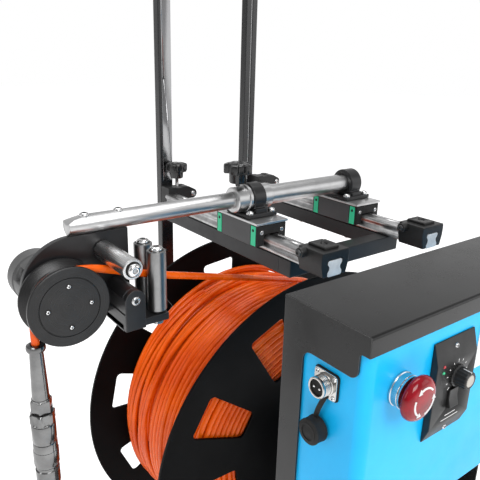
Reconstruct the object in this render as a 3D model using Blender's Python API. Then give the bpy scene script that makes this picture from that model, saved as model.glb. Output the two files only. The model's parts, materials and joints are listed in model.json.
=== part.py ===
"""Motorised cable winch: a flanged drum under a level-wind arm with a metering pulley.

Metres, +Z up. X runs along the arm: the cable leaves at -X. The drum axis and the rails run along Y,
and the control panel faces -Y. The origin is on the floor, under the middle of the object.
"""

import math

import bmesh
import bpy
from mathutils import Vector

GAP = 0.0003  # between pieces that touch
TUBE = 0.020  # side of the square frame tube

# Drum
DRUM_X = 0.060
DRUM_Z = 0.300
FLANGE_R = 0.240
FLANGE_T = 0.004
DRUM_FRONT_Y = -0.028
DRUM_REAR_Y = 0.169
HUB_R = 0.120
PACK_R = 0.192
SHAFT_R = 0.0125
WINDOW_COUNT = 10
WINDOW_R = (0.126, 0.207)
WINDOW_DEG = 15.5
WINDOW_CORNER = 0.006
FRONT_WINDOW_PHASE = 6.3
REAR_WINDOW_PHASE = 24.4

# Rail frame
RAIL_X = (-0.022, 0.142)
RAIL_BASE_Z = 0.592
RAIL_Y = (-0.1255, 0.2030)
UPRIGHT_X = (-0.0157, 0.1357)
UPRIGHT_Y = 0.226
UPRIGHT_DEPTH = 0.014
UPRIGHT_TOP = 0.920
CROSS_Y = (-0.070, -0.050)
CLAMP_TOP = 0.618
CLAMP_KNOB = (-0.0087, 0.2095)

# Level wind
CARRIAGE_Y = (-0.025, 0.056)
CARRIAGE_W = 0.044
CARRIAGE_TOP = 0.622
BAR_Y = 0.015
BAR_Z = 0.6447
BAR_R = 0.0095
BAR_X = (-0.2465, 0.146)
ARM_KNOB_X = -0.0425
BUSH_R = 0.0145
TUBE_R = 0.0118
TUBE_END_R = 0.0110
RING_R = 0.018

# Guide head
PULLEY_X = -0.2605
PULLEY_Z = 0.5775
PULLEY_R = 0.0395
GROOVE_R = 0.0282
PULLEY_Y = (-0.021, 0.009)
PLATE_Y = (0.012, 0.018)
ROLLER_BORE = 0.0043
AXLE_R = 0.004
UPPER_ROLLER = (-0.212, 0.616)
LOWER_ROLLER = (-0.201, 0.5745)
GUIDE_X = -0.1695
GUIDE_Y = (-0.0205, 0.0085)
GUIDE_R = 0.0098
GUIDE_Z = (0.5525, 0.617)
SHELF_Z = (0.542, 0.550)

# Cable
CABLE_R = 0.004
CABLE_Y = -0.006
CABLE_WRAP_Y = -0.0125
CABLE_BEND_X = (-0.1715, -0.160)
CABLE_CUT_GAP = 0.0024
CABLE_DRUM_Y = 0.075
WRAP_R = 0.0325
LEAVE_R = 0.130  # the stiff cable leaves the pulley along this wider arc
HANG_Z = 0.545

# Base, hood and control box
BASE_TUBE = 0.025
BASE_Z = (0.030, 0.055)
BASE_X = (-0.1175, 0.2375)
BASE_Y = (-0.255, 0.2445)
STAND_Y = (-0.085, -0.065)
HOOD_X = (-0.118, 0.238)
HOOD_Y = (-0.257, -0.159)
HOOD_TOP = 0.6073
SHEET = 0.002
BOX_Z = (0.392, 0.605)
BOX_FRONT_Y = HOOD_Y[0] + SHEET + GAP
PANEL_FACE_Y = BOX_FRONT_Y - GAP - 0.007
ESTOP = (-0.0737, 0.5475)
INLET = (-0.214, 0.546)
DUST_CAP = (-0.209, 0.500)
KNOB = (-0.001, 0.538)
ROCKER = (-0.004, 0.517)
ROCKER_DEG = -7.0  # pressed at its lower end at rest
BELT_Y = (-0.104, -0.087)
MOTOR_Z = 0.105
WHEEL_R = 0.050
WHEEL_Y = 0.2295


# ---------------------------------------------------------------- helpers

def material(name, color, roughness, metallic=0.0):
    """A Principled material, made once and shared by name."""
    mat = bpy.data.materials.get(name) or bpy.data.materials.new(name)
    mat.use_nodes = True
    shader = mat.node_tree.nodes["Principled BSDF"]
    shader.inputs["Base Color"].default_value = (*color, 1.0)
    shader.inputs["Roughness"].default_value = roughness
    shader.inputs["Metallic"].default_value = metallic
    mat.diffuse_color = (*color, 1.0)
    return mat


def black_paint():
    return material("black_paint", (0.03, 0.03, 0.032), 0.45)


def black_anodised():
    return material("black_anodised", (0.025, 0.025, 0.027), 0.35, 0.6)


def bright_steel():
    return material("bright_steel", (0.62, 0.62, 0.61), 0.25, 1.0)


def aluminium():
    return material("aluminium", (0.66, 0.67, 0.68), 0.35, 1.0)


def black_plastic():
    return material("black_plastic", (0.02, 0.02, 0.021), 0.5)


def rubber():
    return material("rubber", (0.018, 0.018, 0.018), 0.8)


def orange_jacket():
    return material("orange_jacket", (0.85, 0.20, 0.02), 0.35)


def blue_paint():
    return material("blue_paint", (0.05, 0.50, 0.90), 0.4)


def red_plastic():
    return material("red_plastic", (0.60, 0.02, 0.04), 0.25)


def steel_grey():
    return material("steel_grey", (0.20, 0.20, 0.21), 0.4, 0.8)


def finish(bm, name, mat, smooth=True):
    """Turns a bmesh into a named object in the scene."""
    bmesh.ops.remove_doubles(bm, verts=bm.verts, dist=1e-6)
    bmesh.ops.recalc_face_normals(bm, faces=bm.faces)
    mesh = bpy.data.meshes.new(name)
    bm.to_mesh(mesh)
    bm.free()
    mesh.materials.append(mat)
    if smooth:
        mesh.shade_smooth()
        mesh.set_sharp_from_angle(angle=math.radians(35))
    obj = bpy.data.objects.new(name, mesh)
    bpy.context.scene.collection.objects.link(obj)
    return obj


def box(name, x, y, z, mat):
    """A block between two limits along each axis."""
    bm = bmesh.new()
    bmesh.ops.create_cube(bm, size=1.0)
    size = (x[1] - x[0], y[1] - y[0], z[1] - z[0])
    middle = ((x[0] + x[1]) / 2, (y[0] + y[1]) / 2, (z[0] + z[1]) / 2)
    bmesh.ops.scale(bm, vec=size, verts=bm.verts)
    bmesh.ops.translate(bm, vec=middle, verts=bm.verts)
    return finish(bm, name, mat, smooth=False)


def prism(name, outline, axis, span, mat):
    """A flat outline, given as pairs, extruded along an axis between two limits.

    The pairs are (Y, Z) along X, (X, Z) along Y and (X, Y) along Z.
    """
    place = {
        "X": lambda u, v, w: (w, u, v),
        "Y": lambda u, v, w: (u, w, v),
        "Z": lambda u, v, w: (u, v, w),
    }[axis]
    bm = bmesh.new()
    low = [bm.verts.new(place(u, v, span[0])) for u, v in outline]
    high = [bm.verts.new(place(u, v, span[1])) for u, v in outline]
    bm.faces.new(low)
    bm.faces.new(high)
    count = len(outline)
    for i in range(count):
        j = (i + 1) % count
        bm.faces.new((low[i], low[j], high[j], high[i]))
    return finish(bm, name, mat)


def arc(cx, cz, r, start, end, steps):
    """Points on a circle from one angle to another, in degrees."""
    points = []
    for i in range(steps + 1):
        a = math.radians(start + (end - start) * i / steps)
        points.append((cx + r * math.cos(a), cz + r * math.sin(a)))
    return points


def lathe(name, profile, axis, centre, mat, segments=32):
    """A closed profile of (radius, position along the axis) pairs, turned about an axis.

    The centre is given in the two other coordinates. The object's origin is on the axis, at position 0.
    """
    bm = bmesh.new()
    rings = []
    for r, w in profile:
        ring = []
        for i in range(segments):
            a = 2 * math.pi * i / segments
            u, v = r * math.cos(a), r * math.sin(a)
            co = {"X": (w, u, v), "Y": (u, w, v), "Z": (u, v, w)}[axis]
            ring.append(bm.verts.new(co))
            if r == 0:
                break
        rings.append(ring)
    count = len(rings)
    closed = profile[0][0] > 0
    for k in range(count if closed else count - 1):
        a, b = rings[k], rings[(k + 1) % count]
        for i in range(segments):
            j = (i + 1) % segments
            corners = [a[i % len(a)], a[j % len(a)], b[j % len(b)], b[i % len(b)]]
            unique = list(dict.fromkeys(corners))
            if len(unique) > 2:
                bm.faces.new(unique)
    obj = finish(bm, name, mat)
    place = {"X": (0, *centre), "Y": (centre[0], 0, centre[1]), "Z": (*centre, 0)}[axis]
    obj.location = place
    return obj


def rod(name, axis, centre, span, radius, mat, segments=24, chamfer=0.0):
    """A solid round bar with chamfered ends."""
    low, high = span
    profile = [(0, low), (radius - chamfer, low)]
    if chamfer:
        profile += [(radius, low + chamfer), (radius, high - chamfer)]
    profile += [(radius - chamfer, high), (0, high)]
    return lathe(name, profile, axis, centre, mat, segments)


def sleeve(name, axis, centre, span, inner, outer, mat, segments=32, chamfer=0.0):
    """A round bar with a through bore."""
    low, high = span
    profile = [(inner, low), (outer - chamfer, low)]
    if chamfer:
        profile += [(outer, low + chamfer), (outer, high - chamfer)]
    profile += [(outer - chamfer, high), (inner, high)]
    return lathe(name, profile, axis, centre, mat, segments)


def operate(obj, tools, operation):
    """Adds one Boolean per tool, and marks each tool as a guide that isn't a part."""
    for tool in tools:
        tool.name = "guide_" + tool.name
        mod = obj.modifiers.new(tool.name, "BOOLEAN")
        mod.operation = operation
        mod.solver = "EXACT"
        mod.object = tool
        tool.hide_render = True
        tool.display_type = "WIRE"
    return obj


def weld(obj, *tools):
    return operate(obj, tools, "UNION")


def cut(obj, *tools):
    return operate(obj, tools, "DIFFERENCE")


def round_edges(obj, width, segments=2):
    mod = obj.modifiers.new("round", "BEVEL")
    mod.width = width
    mod.segments = segments
    mod.limit_method = "ANGLE"
    mod.angle_limit = math.radians(50)
    return obj


# ---------------------------------------------------------------- drum

def window(name, centre_deg, y_span):
    """Cutter for one flange window: an annular slot with round corners."""
    inner, outer = WINDOW_R
    half = WINDOW_DEG / 2
    outline = []
    corners = ((outer, 1, 1), (outer, -1, 1), (inner, -1, -1), (inner, 1, -1))
    for radius, side, radial in corners:
        r_mid = radius - radial * WINDOW_CORNER
        inset = math.degrees(WINDOW_CORNER / r_mid)
        a_mid = math.radians(centre_deg + side * (half - inset))
        cx = DRUM_X + r_mid * math.cos(a_mid)
        cz = DRUM_Z + r_mid * math.sin(a_mid)
        turn = math.degrees(a_mid)
        first, last = {
            (1, 1): (90, 0), (-1, 1): (0, -90), (-1, -1): (-90, -180), (1, -1): (180, 90),
        }[(side, radial)]
        outline += arc(cx, cz, WINDOW_CORNER, turn + first, turn + last, 2)
    return prism(name, outline, "Y", y_span, black_paint())


def drum_flange(name, y_span, boss_y, phase):
    """A steel disc with a boss on its outer face and a ring of windows."""
    bore = SHAFT_R + GAP
    if boss_y < y_span[0]:
        profile = [(bore, boss_y), (0.030, boss_y), (0.030, y_span[0]), (FLANGE_R, y_span[0])]
        profile += [(FLANGE_R, y_span[1]), (bore, y_span[1])]
    else:
        profile = [(bore, y_span[0]), (FLANGE_R, y_span[0]), (FLANGE_R, y_span[1])]
        profile += [(0.030, y_span[1]), (0.030, boss_y), (bore, boss_y)]
    flange = lathe(name, profile, "Y", (DRUM_X, DRUM_Z), black_paint(), 72)
    cutter_span = (y_span[0] - 0.002, y_span[1] + 0.002)
    for i in range(WINDOW_COUNT):
        cut(flange, window(f"{name}_window_{i}", phase + i * 360 / WINDOW_COUNT, cutter_span))
    return flange


def make_drum():
    inner_front = DRUM_FRONT_Y + FLANGE_T
    inner_rear = DRUM_REAR_Y - FLANGE_T
    axis = (DRUM_X, DRUM_Z)
    drum_flange("drum_flange_front", (DRUM_FRONT_Y, inner_front), DRUM_FRONT_Y - 0.015, FRONT_WINDOW_PHASE)
    drum_flange("drum_flange_rear", (inner_rear, DRUM_REAR_Y), DRUM_REAR_Y + 0.015, REAR_WINDOW_PHASE)
    span = (inner_front + GAP, inner_rear - GAP)
    sleeve("drum_hub", "Y", axis, span, HUB_R - 0.004, HUB_R, black_paint(), 48)
    sleeve("cable_winding", "Y", axis, span, HUB_R + GAP, PACK_R, orange_jacket(), 72)
    rod("drum_shaft", "Y", axis, (-0.110, 0.250), SHAFT_R, bright_steel(), 24, 0.001)


def make_bearings():
    axis = (DRUM_X, DRUM_Z)
    for name, span in (
        ("front_bearing", (STAND_Y[1] + GAP, STAND_Y[1] + 0.014)),
        ("rear_bearing", (UPRIGHT_Y - 0.014, UPRIGHT_Y - GAP)),
    ):
        sleeve(name, "Y", axis, span, SHAFT_R + GAP, 0.029, steel_grey(), 24, 0.001)
    profile = [(0, 0.278), (0.026, 0.278), (0.026, 0.2405), (SHAFT_R + 0.001, 0.2405)]
    profile += [(SHAFT_R + 0.001, 0.253), (0, 0.253)]
    lathe("slip_ring", profile, "Y", axis, black_plastic(), 32)


def make_drive():
    """Belt drive from the gear motor under the control box to the front end of the drum shaft."""
    low, high = BELT_Y
    drum_r, motor_r, belt = 0.060, 0.024, 0.003
    bore = SHAFT_R + GAP
    profile = [(bore, low), (drum_r + 0.004, low), (drum_r + 0.004, low + 0.0015), (drum_r, low + 0.0015)]
    profile += [(drum_r, high - 0.0015), (drum_r + 0.004, high - 0.0015), (drum_r + 0.004, high), (bore, high)]
    lathe("drum_belt_pulley", profile, "Y", (DRUM_X, DRUM_Z), steel_grey(), 40)
    profile = [(0, -0.1147), (0.008, -0.1147), (0.008, low), (motor_r + 0.004, low)]
    profile += [(motor_r + 0.004, low + 0.0015), (motor_r, low + 0.0015), (motor_r, high - 0.0015)]
    profile += [(motor_r + 0.004, high - 0.0015), (motor_r + 0.004, high), (0, high)]
    lathe("motor_belt_pulley", profile, "Y", (DRUM_X, MOTOR_Z), steel_grey(), 24)
    span = (low + 0.002, high - 0.002)
    lean = math.degrees(math.asin((drum_r - motor_r) / (DRUM_Z - MOTOR_Z)))
    loops = []
    for extra in (belt + GAP, GAP):
        top = arc(DRUM_X, DRUM_Z, drum_r + extra, -lean, 180 + lean, 24)
        bottom = arc(DRUM_X, MOTOR_Z, motor_r + extra, 180 + lean, 360 - lean, 14)
        loops.append(top + bottom)
    ring("drive_belt", loops[0], loops[1], span, rubber())
    motor = box("gear_motor", (DRUM_X - 0.045, DRUM_X + 0.045), (-0.165, -0.115), (0.0548, 0.150), aluminium())
    body = rod("motor_can", "Y", (DRUM_X, MOTOR_Z), (-0.252, -0.160), 0.043, aluminium(), 32, 0.003)
    weld(motor, body)


def ring(name, outer, inner, span, mat):
    """A closed band along Y between two loops with the same number of points."""
    bm = bmesh.new()
    loops = []
    for outline in (outer, inner):
        for y in span:
            loops.append([bm.verts.new((x, y, z)) for x, z in outline])
    outer_low, outer_high, inner_low, inner_high = loops
    count = len(outer)
    pairs = ((outer_low, outer_high), (outer_high, inner_high), (inner_high, inner_low), (inner_low, outer_low))
    for a, b in pairs:
        for i in range(count):
            j = (i + 1) % count
            bm.faces.new((a[i], a[j], b[j], b[i]))
    return finish(bm, name, mat)


# ---------------------------------------------------------------- frame

def make_base():
    """Welded base: two side tubes, three cross tubes, the bearing stand, the rear beam and axle stubs."""
    half = BASE_TUBE / 2
    steel = black_paint()
    left, right = BASE_X
    base = box("base_frame", (left - half, left + half), BASE_Y, BASE_Z, steel)
    parts = [box("side", (right - half, right + half), BASE_Y, BASE_Z, steel)]
    overlap = 0.002
    for i, y in enumerate((BASE_Y[0], STAND_Y[0] - 0.0025, BASE_Y[1] - BASE_TUBE - 0.0002)):
        span = (left + half - overlap, right - half + overlap)
        parts.append(box(f"cross_{i}", span, (y, y + BASE_TUBE), (BASE_Z[0] + 0.0002, BASE_Z[1] - 0.0002), steel))
    parts.append(box("motor_rail", (DRUM_X - 0.03, DRUM_X + 0.03), (-0.232, -0.085), (0.0305, 0.0545), steel))
    for i, x in enumerate((DRUM_X - 0.034, DRUM_X + 0.034)):
        parts.append(box(f"post_{i}", (x - 0.010, x + 0.010), STAND_Y, (BASE_Z[1] - overlap, 0.277), steel))
    beam_y = (STAND_Y[0] + 0.0002, STAND_Y[1])
    parts.append(box("front_beam", (DRUM_X - 0.046, DRUM_X + 0.046), beam_y, (0.275, 0.328), steel))
    for i, x in enumerate((left, right)):
        side = -1 if i == 0 else 1
        span = sorted((x + side * (half - overlap), x + side * 0.056))
        parts.append(rod(f"stub_{i}", "X", (WHEEL_Y, WHEEL_R), span, 0.008, steel, 20))
    weld(base, *parts)
    cut(base, rod("front_bore", "Y", (DRUM_X, DRUM_Z), (-0.09, -0.06), SHAFT_R + 0.001, steel, 24))
    return base


def make_uprights():
    """Two square tubes with a cross handle at the top and a beam for the rear bearing."""
    steel = black_paint()
    x0, x1 = UPRIGHT_X
    half = TUBE / 2
    y = (UPRIGHT_Y, UPRIGHT_Y + UPRIGHT_DEPTH)
    frame = box("upright_frame", (x0 - half, x0 + half), y, (BASE_Z[1] + GAP, UPRIGHT_TOP), steel)
    other = box("upright", (x1 - half, x1 + half), y, (BASE_Z[1] + GAP, UPRIGHT_TOP), steel)
    inner = (x0 + half - 0.002, x1 - half + 0.002)
    y_in = (y[0] + 0.0002, y[1] - 0.0002)
    top = box("handle_tube", inner, y_in, (UPRIGHT_TOP - TUBE, UPRIGHT_TOP - 0.0002), steel)
    beam = box("rear_beam", inner, y_in, (0.273, 0.327), steel)
    weld(frame, other, top, beam)
    cut(frame, rod("rear_bore", "Y", (DRUM_X, DRUM_Z), (0.215, 0.250), SHAFT_R + 0.001, steel, 24))
    grip_x = (inner[0] + 0.012, inner[1] - 0.012)
    grip_z = UPRIGHT_TOP - half
    grip = box("handle_grip", grip_x, (y[0] - 0.005, y[1] + 0.005), (grip_z - 0.015, grip_z + 0.015), rubber())
    cut(grip, box("grip_bore", (grip_x[0] - 0.01, grip_x[1] + 0.01), (y[0] - GAP, y[1] + GAP),
                  (UPRIGHT_TOP - TUBE - GAP, UPRIGHT_TOP + GAP), rubber()))


def make_wheels_and_feet():
    left, right = BASE_X
    for name, x, side in (("wheel_left", left, -1), ("wheel_right", right, 1)):
        a, b = sorted((x + side * 0.027, x + side * 0.051))
        m = (a + b) / 2
        profile = [(0.0083, m - 0.012), (0.016, m - 0.012), (0.016, m - 0.006), (0.034, m - 0.006)]
        profile += [(0.038, a), (WHEEL_R - 0.004, a), (WHEEL_R, a + 0.005), (WHEEL_R, b - 0.005)]
        profile += [(WHEEL_R - 0.004, b), (0.038, b), (0.034, m + 0.006), (0.016, m + 0.006)]
        profile += [(0.016, m + 0.012), (0.0083, m + 0.012)]
        lathe(name, profile, "X", (WHEEL_Y, WHEEL_R), rubber(), 32)
    for name, x in (("foot_left", left), ("foot_right", right)):
        profile = [(0, 0), (0.016, 0), (0.012, BASE_Z[0] - GAP), (0, BASE_Z[0] - GAP)]
        lathe(name, profile, "Z", (x, BASE_Y[0] + 0.016), rubber(), 24)


def rail_outline(x, base_z):
    """Cross-section of a profile rail, with a ball groove in each flank."""
    half = [(0.0085, 0.0), (0.010, 0.002), (0.010, 0.0045), (0.0078, 0.0075), (0.0078, 0.0105)]
    half += [(0.010, 0.0135), (0.010, 0.0155), (0.0085, 0.0175)]
    right = [(x + u, base_z + v) for u, v in half]
    left = [(x - u, base_z + v) for u, v in reversed(half)]
    return right + left


def make_rails():
    steel = black_paint()
    half = TUBE / 2
    z = (RAIL_BASE_Z - TUBE, RAIL_BASE_Z - GAP)
    side_y = (CROSS_Y[1] - 0.002, UPRIGHT_Y - GAP)
    frame = box("rail_frame", (RAIL_X[0] - half, RAIL_X[0] + half), side_y, z, steel)
    other = box("side_member", (RAIL_X[1] - half, RAIL_X[1] + half), side_y, z, steel)
    z_cross = (z[0] + 0.0002, z[1] - 0.0002)
    cross = box("cross_member", (RAIL_X[0] - half, RAIL_X[1] + half), CROSS_Y, z_cross, steel)
    weld(frame, other, cross)
    for name, x in zip(("rail_left", "rail_right"), RAIL_X):
        prism(name, rail_outline(x, RAIL_BASE_Z), "Y", RAIL_Y, bright_steel())
    for name, x in zip(("rail_stop_left", "rail_stop_right"), RAIL_X):
        rail_stop(name, x)


def rail_stop(name, x):
    """Moulded end stop that straddles the rail end, with a clamp screw boss on its side."""
    z0, z1 = RAIL_BASE_Z + GAP, 0.622
    outline = [(x - 0.017, z0), (x + 0.017, z0), (x + 0.020, z0 + 0.012), (x + 0.020, z1 - 0.003)]
    outline += [(x + 0.012, z1), (x - 0.012, z1), (x - 0.020, z1 - 0.003), (x - 0.020, z0 + 0.012)]
    stop = prism(name, outline, "Y", (-0.126, -0.091), black_plastic())
    boss = rod(name + "_boss", "X", (-0.100, 0.614), (x - 0.029, x - 0.018), 0.0055, black_plastic(), 16, 0.001)
    weld(stop, boss)
    slot = box(name + "_slot", (x - 0.0104, x + 0.0104), (-0.130, -0.087), (z0 - 0.002, 0.6099), black_plastic())
    cut(stop, slot)
    return stop


def clamp_block(name, x):
    """Clamp bar between a rail's end and the front face of an upright, with a round lug on its +X side."""
    plastic = black_plastic()
    y = (RAIL_Y[1] + 0.001, UPRIGHT_Y - GAP)
    z = (RAIL_BASE_Z + GAP, CLAMP_TOP)
    block = box(name, (x - 0.0037, x + 0.030), y, z, plastic)
    lug = [(x + 0.028, 0.5995), *arc(x + 0.0382, 0.6060, 0.0065, -90, 90, 6), (x + 0.028, 0.6125)]
    weld(block, prism(name + "_lug", lug, "Y", (y[0] + 0.0002, y[1] - 0.0002), plastic))
    return block


def star_knob(name, x, y, z, head_r, hub_r, stem_r, heights):
    """Lobed hand knob on a hub and a stem. heights are stem foot, hub foot, head foot and top."""
    foot, hub_z, head_z, top = heights
    lobes = 5
    outline = []
    for i in range(60):
        a = 2 * math.pi * i / 60
        r = head_r * (0.76 + 0.24 * max(0.0, min(1.0, 0.62 + 1.3 * math.cos(lobes * a))))
        outline.append((r * math.cos(a), r * math.sin(a)))
    head = prism(name, outline, "Z", (head_z, top), black_plastic())
    hub = rod(name + "_hub", "Z", (0, 0), (hub_z, head_z + 0.002), hub_r, black_plastic(), 20)
    stem = rod(name + "_stem", "Z", (0, 0), (foot, hub_z + 0.002), stem_r, black_plastic(), 12)
    weld(head, hub, stem)
    for obj in (head, hub, stem):
        obj.location = (x, y, z)
    return head


# ---------------------------------------------------------------- level wind

def carriage(name, x):
    """Ball carriage: an inverted channel over the rail."""
    half = CARRIAGE_W / 2
    z = (RAIL_BASE_Z + 0.0046, CARRIAGE_TOP)
    block = box(name, (x - half, x + half), CARRIAGE_Y, z, steel_grey())
    slot = [(x - 0.0106, 0.58), (x + 0.0106, 0.58), (x + 0.0106, 0.6102), (x - 0.0106, 0.6102)]
    cut(block, prism(name + "_slot", slot, "Y", (CARRIAGE_Y[0] - 0.01, CARRIAGE_Y[1] + 0.01), steel_grey()))
    return block


def pillow_block(name, foot_x, ring_x):
    """Shaft support: a foot, a pedestal and a ring round the arm."""
    paint = black_anodised()
    foot_z = CARRIAGE_TOP + 0.003 + GAP
    foot = box(name, foot_x, (BAR_Y - 0.022, BAR_Y + 0.022), (foot_z, 0.632), paint)
    middle = box(name + "_pedestal", ring_x, (BAR_Y - 0.014, BAR_Y + 0.014), (0.631, BAR_Z - 0.002), paint)
    inner = (ring_x[0] - 0.0002, ring_x[1] + 0.0002)
    collar = rod(name + "_ring", "X", (BAR_Y, BAR_Z), inner, RING_R, paint, 28)
    weld(foot, middle, collar)
    return foot


def make_level_wind():
    for name, x in zip(("carriage_left", "carriage_right"), RAIL_X):
        carriage(name, x)
    for name, x in zip(("top_plate_left", "top_plate_right"), RAIL_X):
        y = (CARRIAGE_Y[0] - 0.001, CARRIAGE_Y[1] + 0.001)
        z = (CARRIAGE_TOP + GAP, CARRIAGE_TOP + 0.003)
        box(name, (x - 0.023, x + 0.023), y, z, aluminium())
    axis = (BAR_Y, BAR_Z)
    near = pillow_block("pillow_block_left", (-0.042, 0.0005), (-0.0298, -0.0127))
    inner = BUSH_R + GAP
    room = [(0, -0.06), (0.0168, -0.06), (0.0168, -0.02985), (inner, -0.02985), (inner, 0.03), (0, 0.03)]
    cut(near, lathe("bush_bore", room, "X", axis, black_anodised(), 28))
    far = pillow_block("pillow_block_right", (0.120, 0.164), (0.133, 0.1513))
    cut(far, rod("tube_bore", "X", axis, (0.11, 0.18), TUBE_END_R + GAP, black_anodised(), 28))
    bore = BAR_R + GAP
    profile = [(bore, -0.0508), (0.015, -0.0508), (0.015, -0.035), (0.0165, -0.035), (0.0165, -0.0303)]
    profile += [(BUSH_R, -0.0303), (BUSH_R, 0.0015), (TUBE_R, 0.0015), (TUBE_R, 0.122)]
    profile += [(TUBE_END_R, 0.1235), (TUBE_END_R, 0.1523), (bore, 0.1523)]
    lathe("arm_tube", profile, "X", axis, bright_steel(), 28)
    bush_top = BAR_Z + 0.015
    star_knob("arm_knob", ARM_KNOB_X, BAR_Y, bush_top, 0.0168, 0.0105, 0.0030, (GAP, 0.005, 0.0163, 0.0293))
    bar = rod("arm_bar", "X", axis, BAR_X, BAR_R, bright_steel(), 32, 0.001)
    bevel = [(BAR_X[0] - 0.01, BAR_Z + 0.001), (BAR_X[0] + 0.02, BAR_Z + BAR_R + 0.001)]
    bevel += [(BAR_X[0] + 0.02, BAR_Z + 0.02), (BAR_X[0] - 0.01, BAR_Z + 0.02)]
    cut(bar, prism("bar_bevel", bevel, "Y", (BAR_Y - 0.02, BAR_Y + 0.02), bright_steel()))


# ---------------------------------------------------------------- guide head

def make_head_plate():
    top = BAR_Z - BAR_R - GAP
    cx, radius, right, low = -0.244, 0.051, -0.184, 0.547
    cz = top - radius
    end = 180 + math.degrees(math.asin((cz - low) / radius))
    outline = [(right, top), *arc(cx, cz, radius, 90, end, 16), (right, low)]
    plate = prism("head_plate", outline, "Y", PLATE_Y, black_anodised())
    bore = rod("plate_bore", "Y", (PULLEY_X, PULLEY_Z), (0.0, 0.03), 0.0063, black_anodised(), 20)
    cut(plate, bore)
    axis = (PULLEY_X, PULLEY_Z)
    start = PLATE_Y[1] + GAP
    profile = [(0.0063, start), (0.028, start), (0.028, 0.084), (0.026, 0.086), (0, 0.086)]
    profile += [(0, 0.045), (0.0063, 0.045)]
    lathe("encoder_housing", profile, "Y", axis, black_anodised(), 32)


def make_pulley():
    """Metering pulley: a thin front flange, a narrow seat for the cable and a long slope to the rear flange."""
    low, high = PULLEY_Y
    seat = (CABLE_WRAP_Y - CABLE_R - GAP, CABLE_WRAP_Y + CABLE_R)
    profile = [(0.0063, low), (PULLEY_R, low), (PULLEY_R, seat[0]), (GROOVE_R, seat[0]), (GROOVE_R, seat[1])]
    profile += [(0.0300, 0.0), (PULLEY_R, 0.0065), (PULLEY_R, high), (0.0063, high)]
    lathe("metering_pulley", profile, "Y", (PULLEY_X, PULLEY_Z), black_anodised(), 40)
    rod("pulley_axle", "Y", (PULLEY_X, PULLEY_Z), (low + 0.001, 0.044), 0.006, bright_steel(), 20)


def make_rollers():
    steel = bright_steel()
    face = PLATE_Y[0] - GAP
    sleeve("upper_roller", "Y", UPPER_ROLLER, (-0.055, face - 0.0007), ROLLER_BORE, 0.010, steel, 20, 0.0008)
    axle = rod("upper_roller_axle", "Y", UPPER_ROLLER, (-0.0575, face), AXLE_R, steel, 16)
    button = rod("upper_button", "Y", UPPER_ROLLER, (-0.0585, -0.0555), 0.0064, steel, 20, 0.001)
    weld(axle, button)
    sleeve("lower_roller", "Y", LOWER_ROLLER, (-0.0283, face - 0.0007), ROLLER_BORE, 0.0105,
           black_anodised(), 20, 0.0008)
    for name, y in zip(("guide_roller_front", "guide_roller_rear"), GUIDE_Y):
        sleeve(name, "Z", (GUIDE_X, y), GUIDE_Z, ROLLER_BORE, GUIDE_R, steel, 20, 0.0008)


def make_bracket():
    """Roller bracket: shelf, side wall and ear, with the pins that the rollers turn on."""
    paint = black_anodised()
    back = PLATE_Y[0] - GAP
    shelf = box("roller_bracket", (-0.212, -0.161), (-0.0300, back), SHELF_Z, paint)
    wall = box("wall", (-0.2118, -0.206), (-0.0348, back - 0.0002), (SHELF_Z[0] + 0.002, 0.563), paint)
    seat = box("seat", (-0.183, -0.161), (back - 0.002, 0.0185), (SHELF_Z[0] + 0.0002, SHELF_Z[1]), paint)
    x, z = LOWER_ROLLER
    ear_outline = [(x - 0.0108, SHELF_Z[0] + 0.002), (x + 0.0108, SHELF_Z[0] + 0.002)]
    ear_outline += arc(x, z, 0.0108, 0, 180, 10)
    ear = prism("ear", ear_outline, "Y", (-0.0349, -0.029), paint)
    pin = rod("pin", "Y", LOWER_ROLLER, (-0.0365, back - 0.0002), AXLE_R, paint, 16)
    parts = [wall, seat, ear, pin]
    for i, y in enumerate(GUIDE_Y):
        parts.append(rod(f"spindle_{i}", "Z", (GUIDE_X, y), (0.536, 0.6178), AXLE_R, paint, 16))
        parts.append(rod(f"cap_{i}", "Z", (GUIDE_X, y), (0.6174, 0.6205), 0.0064, paint, 20, 0.001))
    weld(shelf, *parts)


# ---------------------------------------------------------------- cable

def tangent_points():
    """Ends of the straight run from the wide arc over the pulley to the top of the winding, in X and Z."""
    start = Vector((PULLEY_X, PULLEY_Z + WRAP_R - LEAVE_R))
    end = Vector((DRUM_X, DRUM_Z))
    drum_r = PACK_R + CABLE_R + GAP
    line = end - start
    angle = math.atan2(line.y, line.x) + math.asin((drum_r - LEAVE_R) / line.length)
    normal = Vector((-math.sin(angle), math.cos(angle)))
    return start + LEAVE_R * normal, end + drum_r * normal, math.degrees(angle)


def lead_y(x):
    """Y of the cable: slanting from the pulley's front flange to the guide rollers, then bending to the drum."""
    entry_x = GUIDE_X - GUIDE_R / 2
    t = max(0.0, min(1.0, (x - PULLEY_X) / (entry_x - PULLEY_X)))
    length = CABLE_BEND_X[1] - CABLE_BEND_X[0]
    drum_end = tangent_points()[1]
    slope = (CABLE_DRUM_Y - CABLE_Y) / (drum_end.x - sum(CABLE_BEND_X) / 2)
    past = max(0.0, x - CABLE_BEND_X[0])
    return CABLE_WRAP_Y + (CABLE_Y - CABLE_WRAP_Y) * t + slope * past * past / (2 * length)


def tube(name, points, radius, mat):
    """A round cord along a list of points."""
    curve = bpy.data.curves.new(name, "CURVE")
    curve.dimensions = "3D"
    curve.bevel_depth = radius
    curve.bevel_resolution = 2
    curve.use_fill_caps = True
    curve.materials.append(mat)
    spline = curve.splines.new("POLY")
    spline.points.add(len(points) - 1)
    for point, co in zip(spline.points, points):
        point.co = (*co, 1.0)
    obj = bpy.data.objects.new(name, curve)
    bpy.context.scene.collection.objects.link(obj)
    return obj


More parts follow.
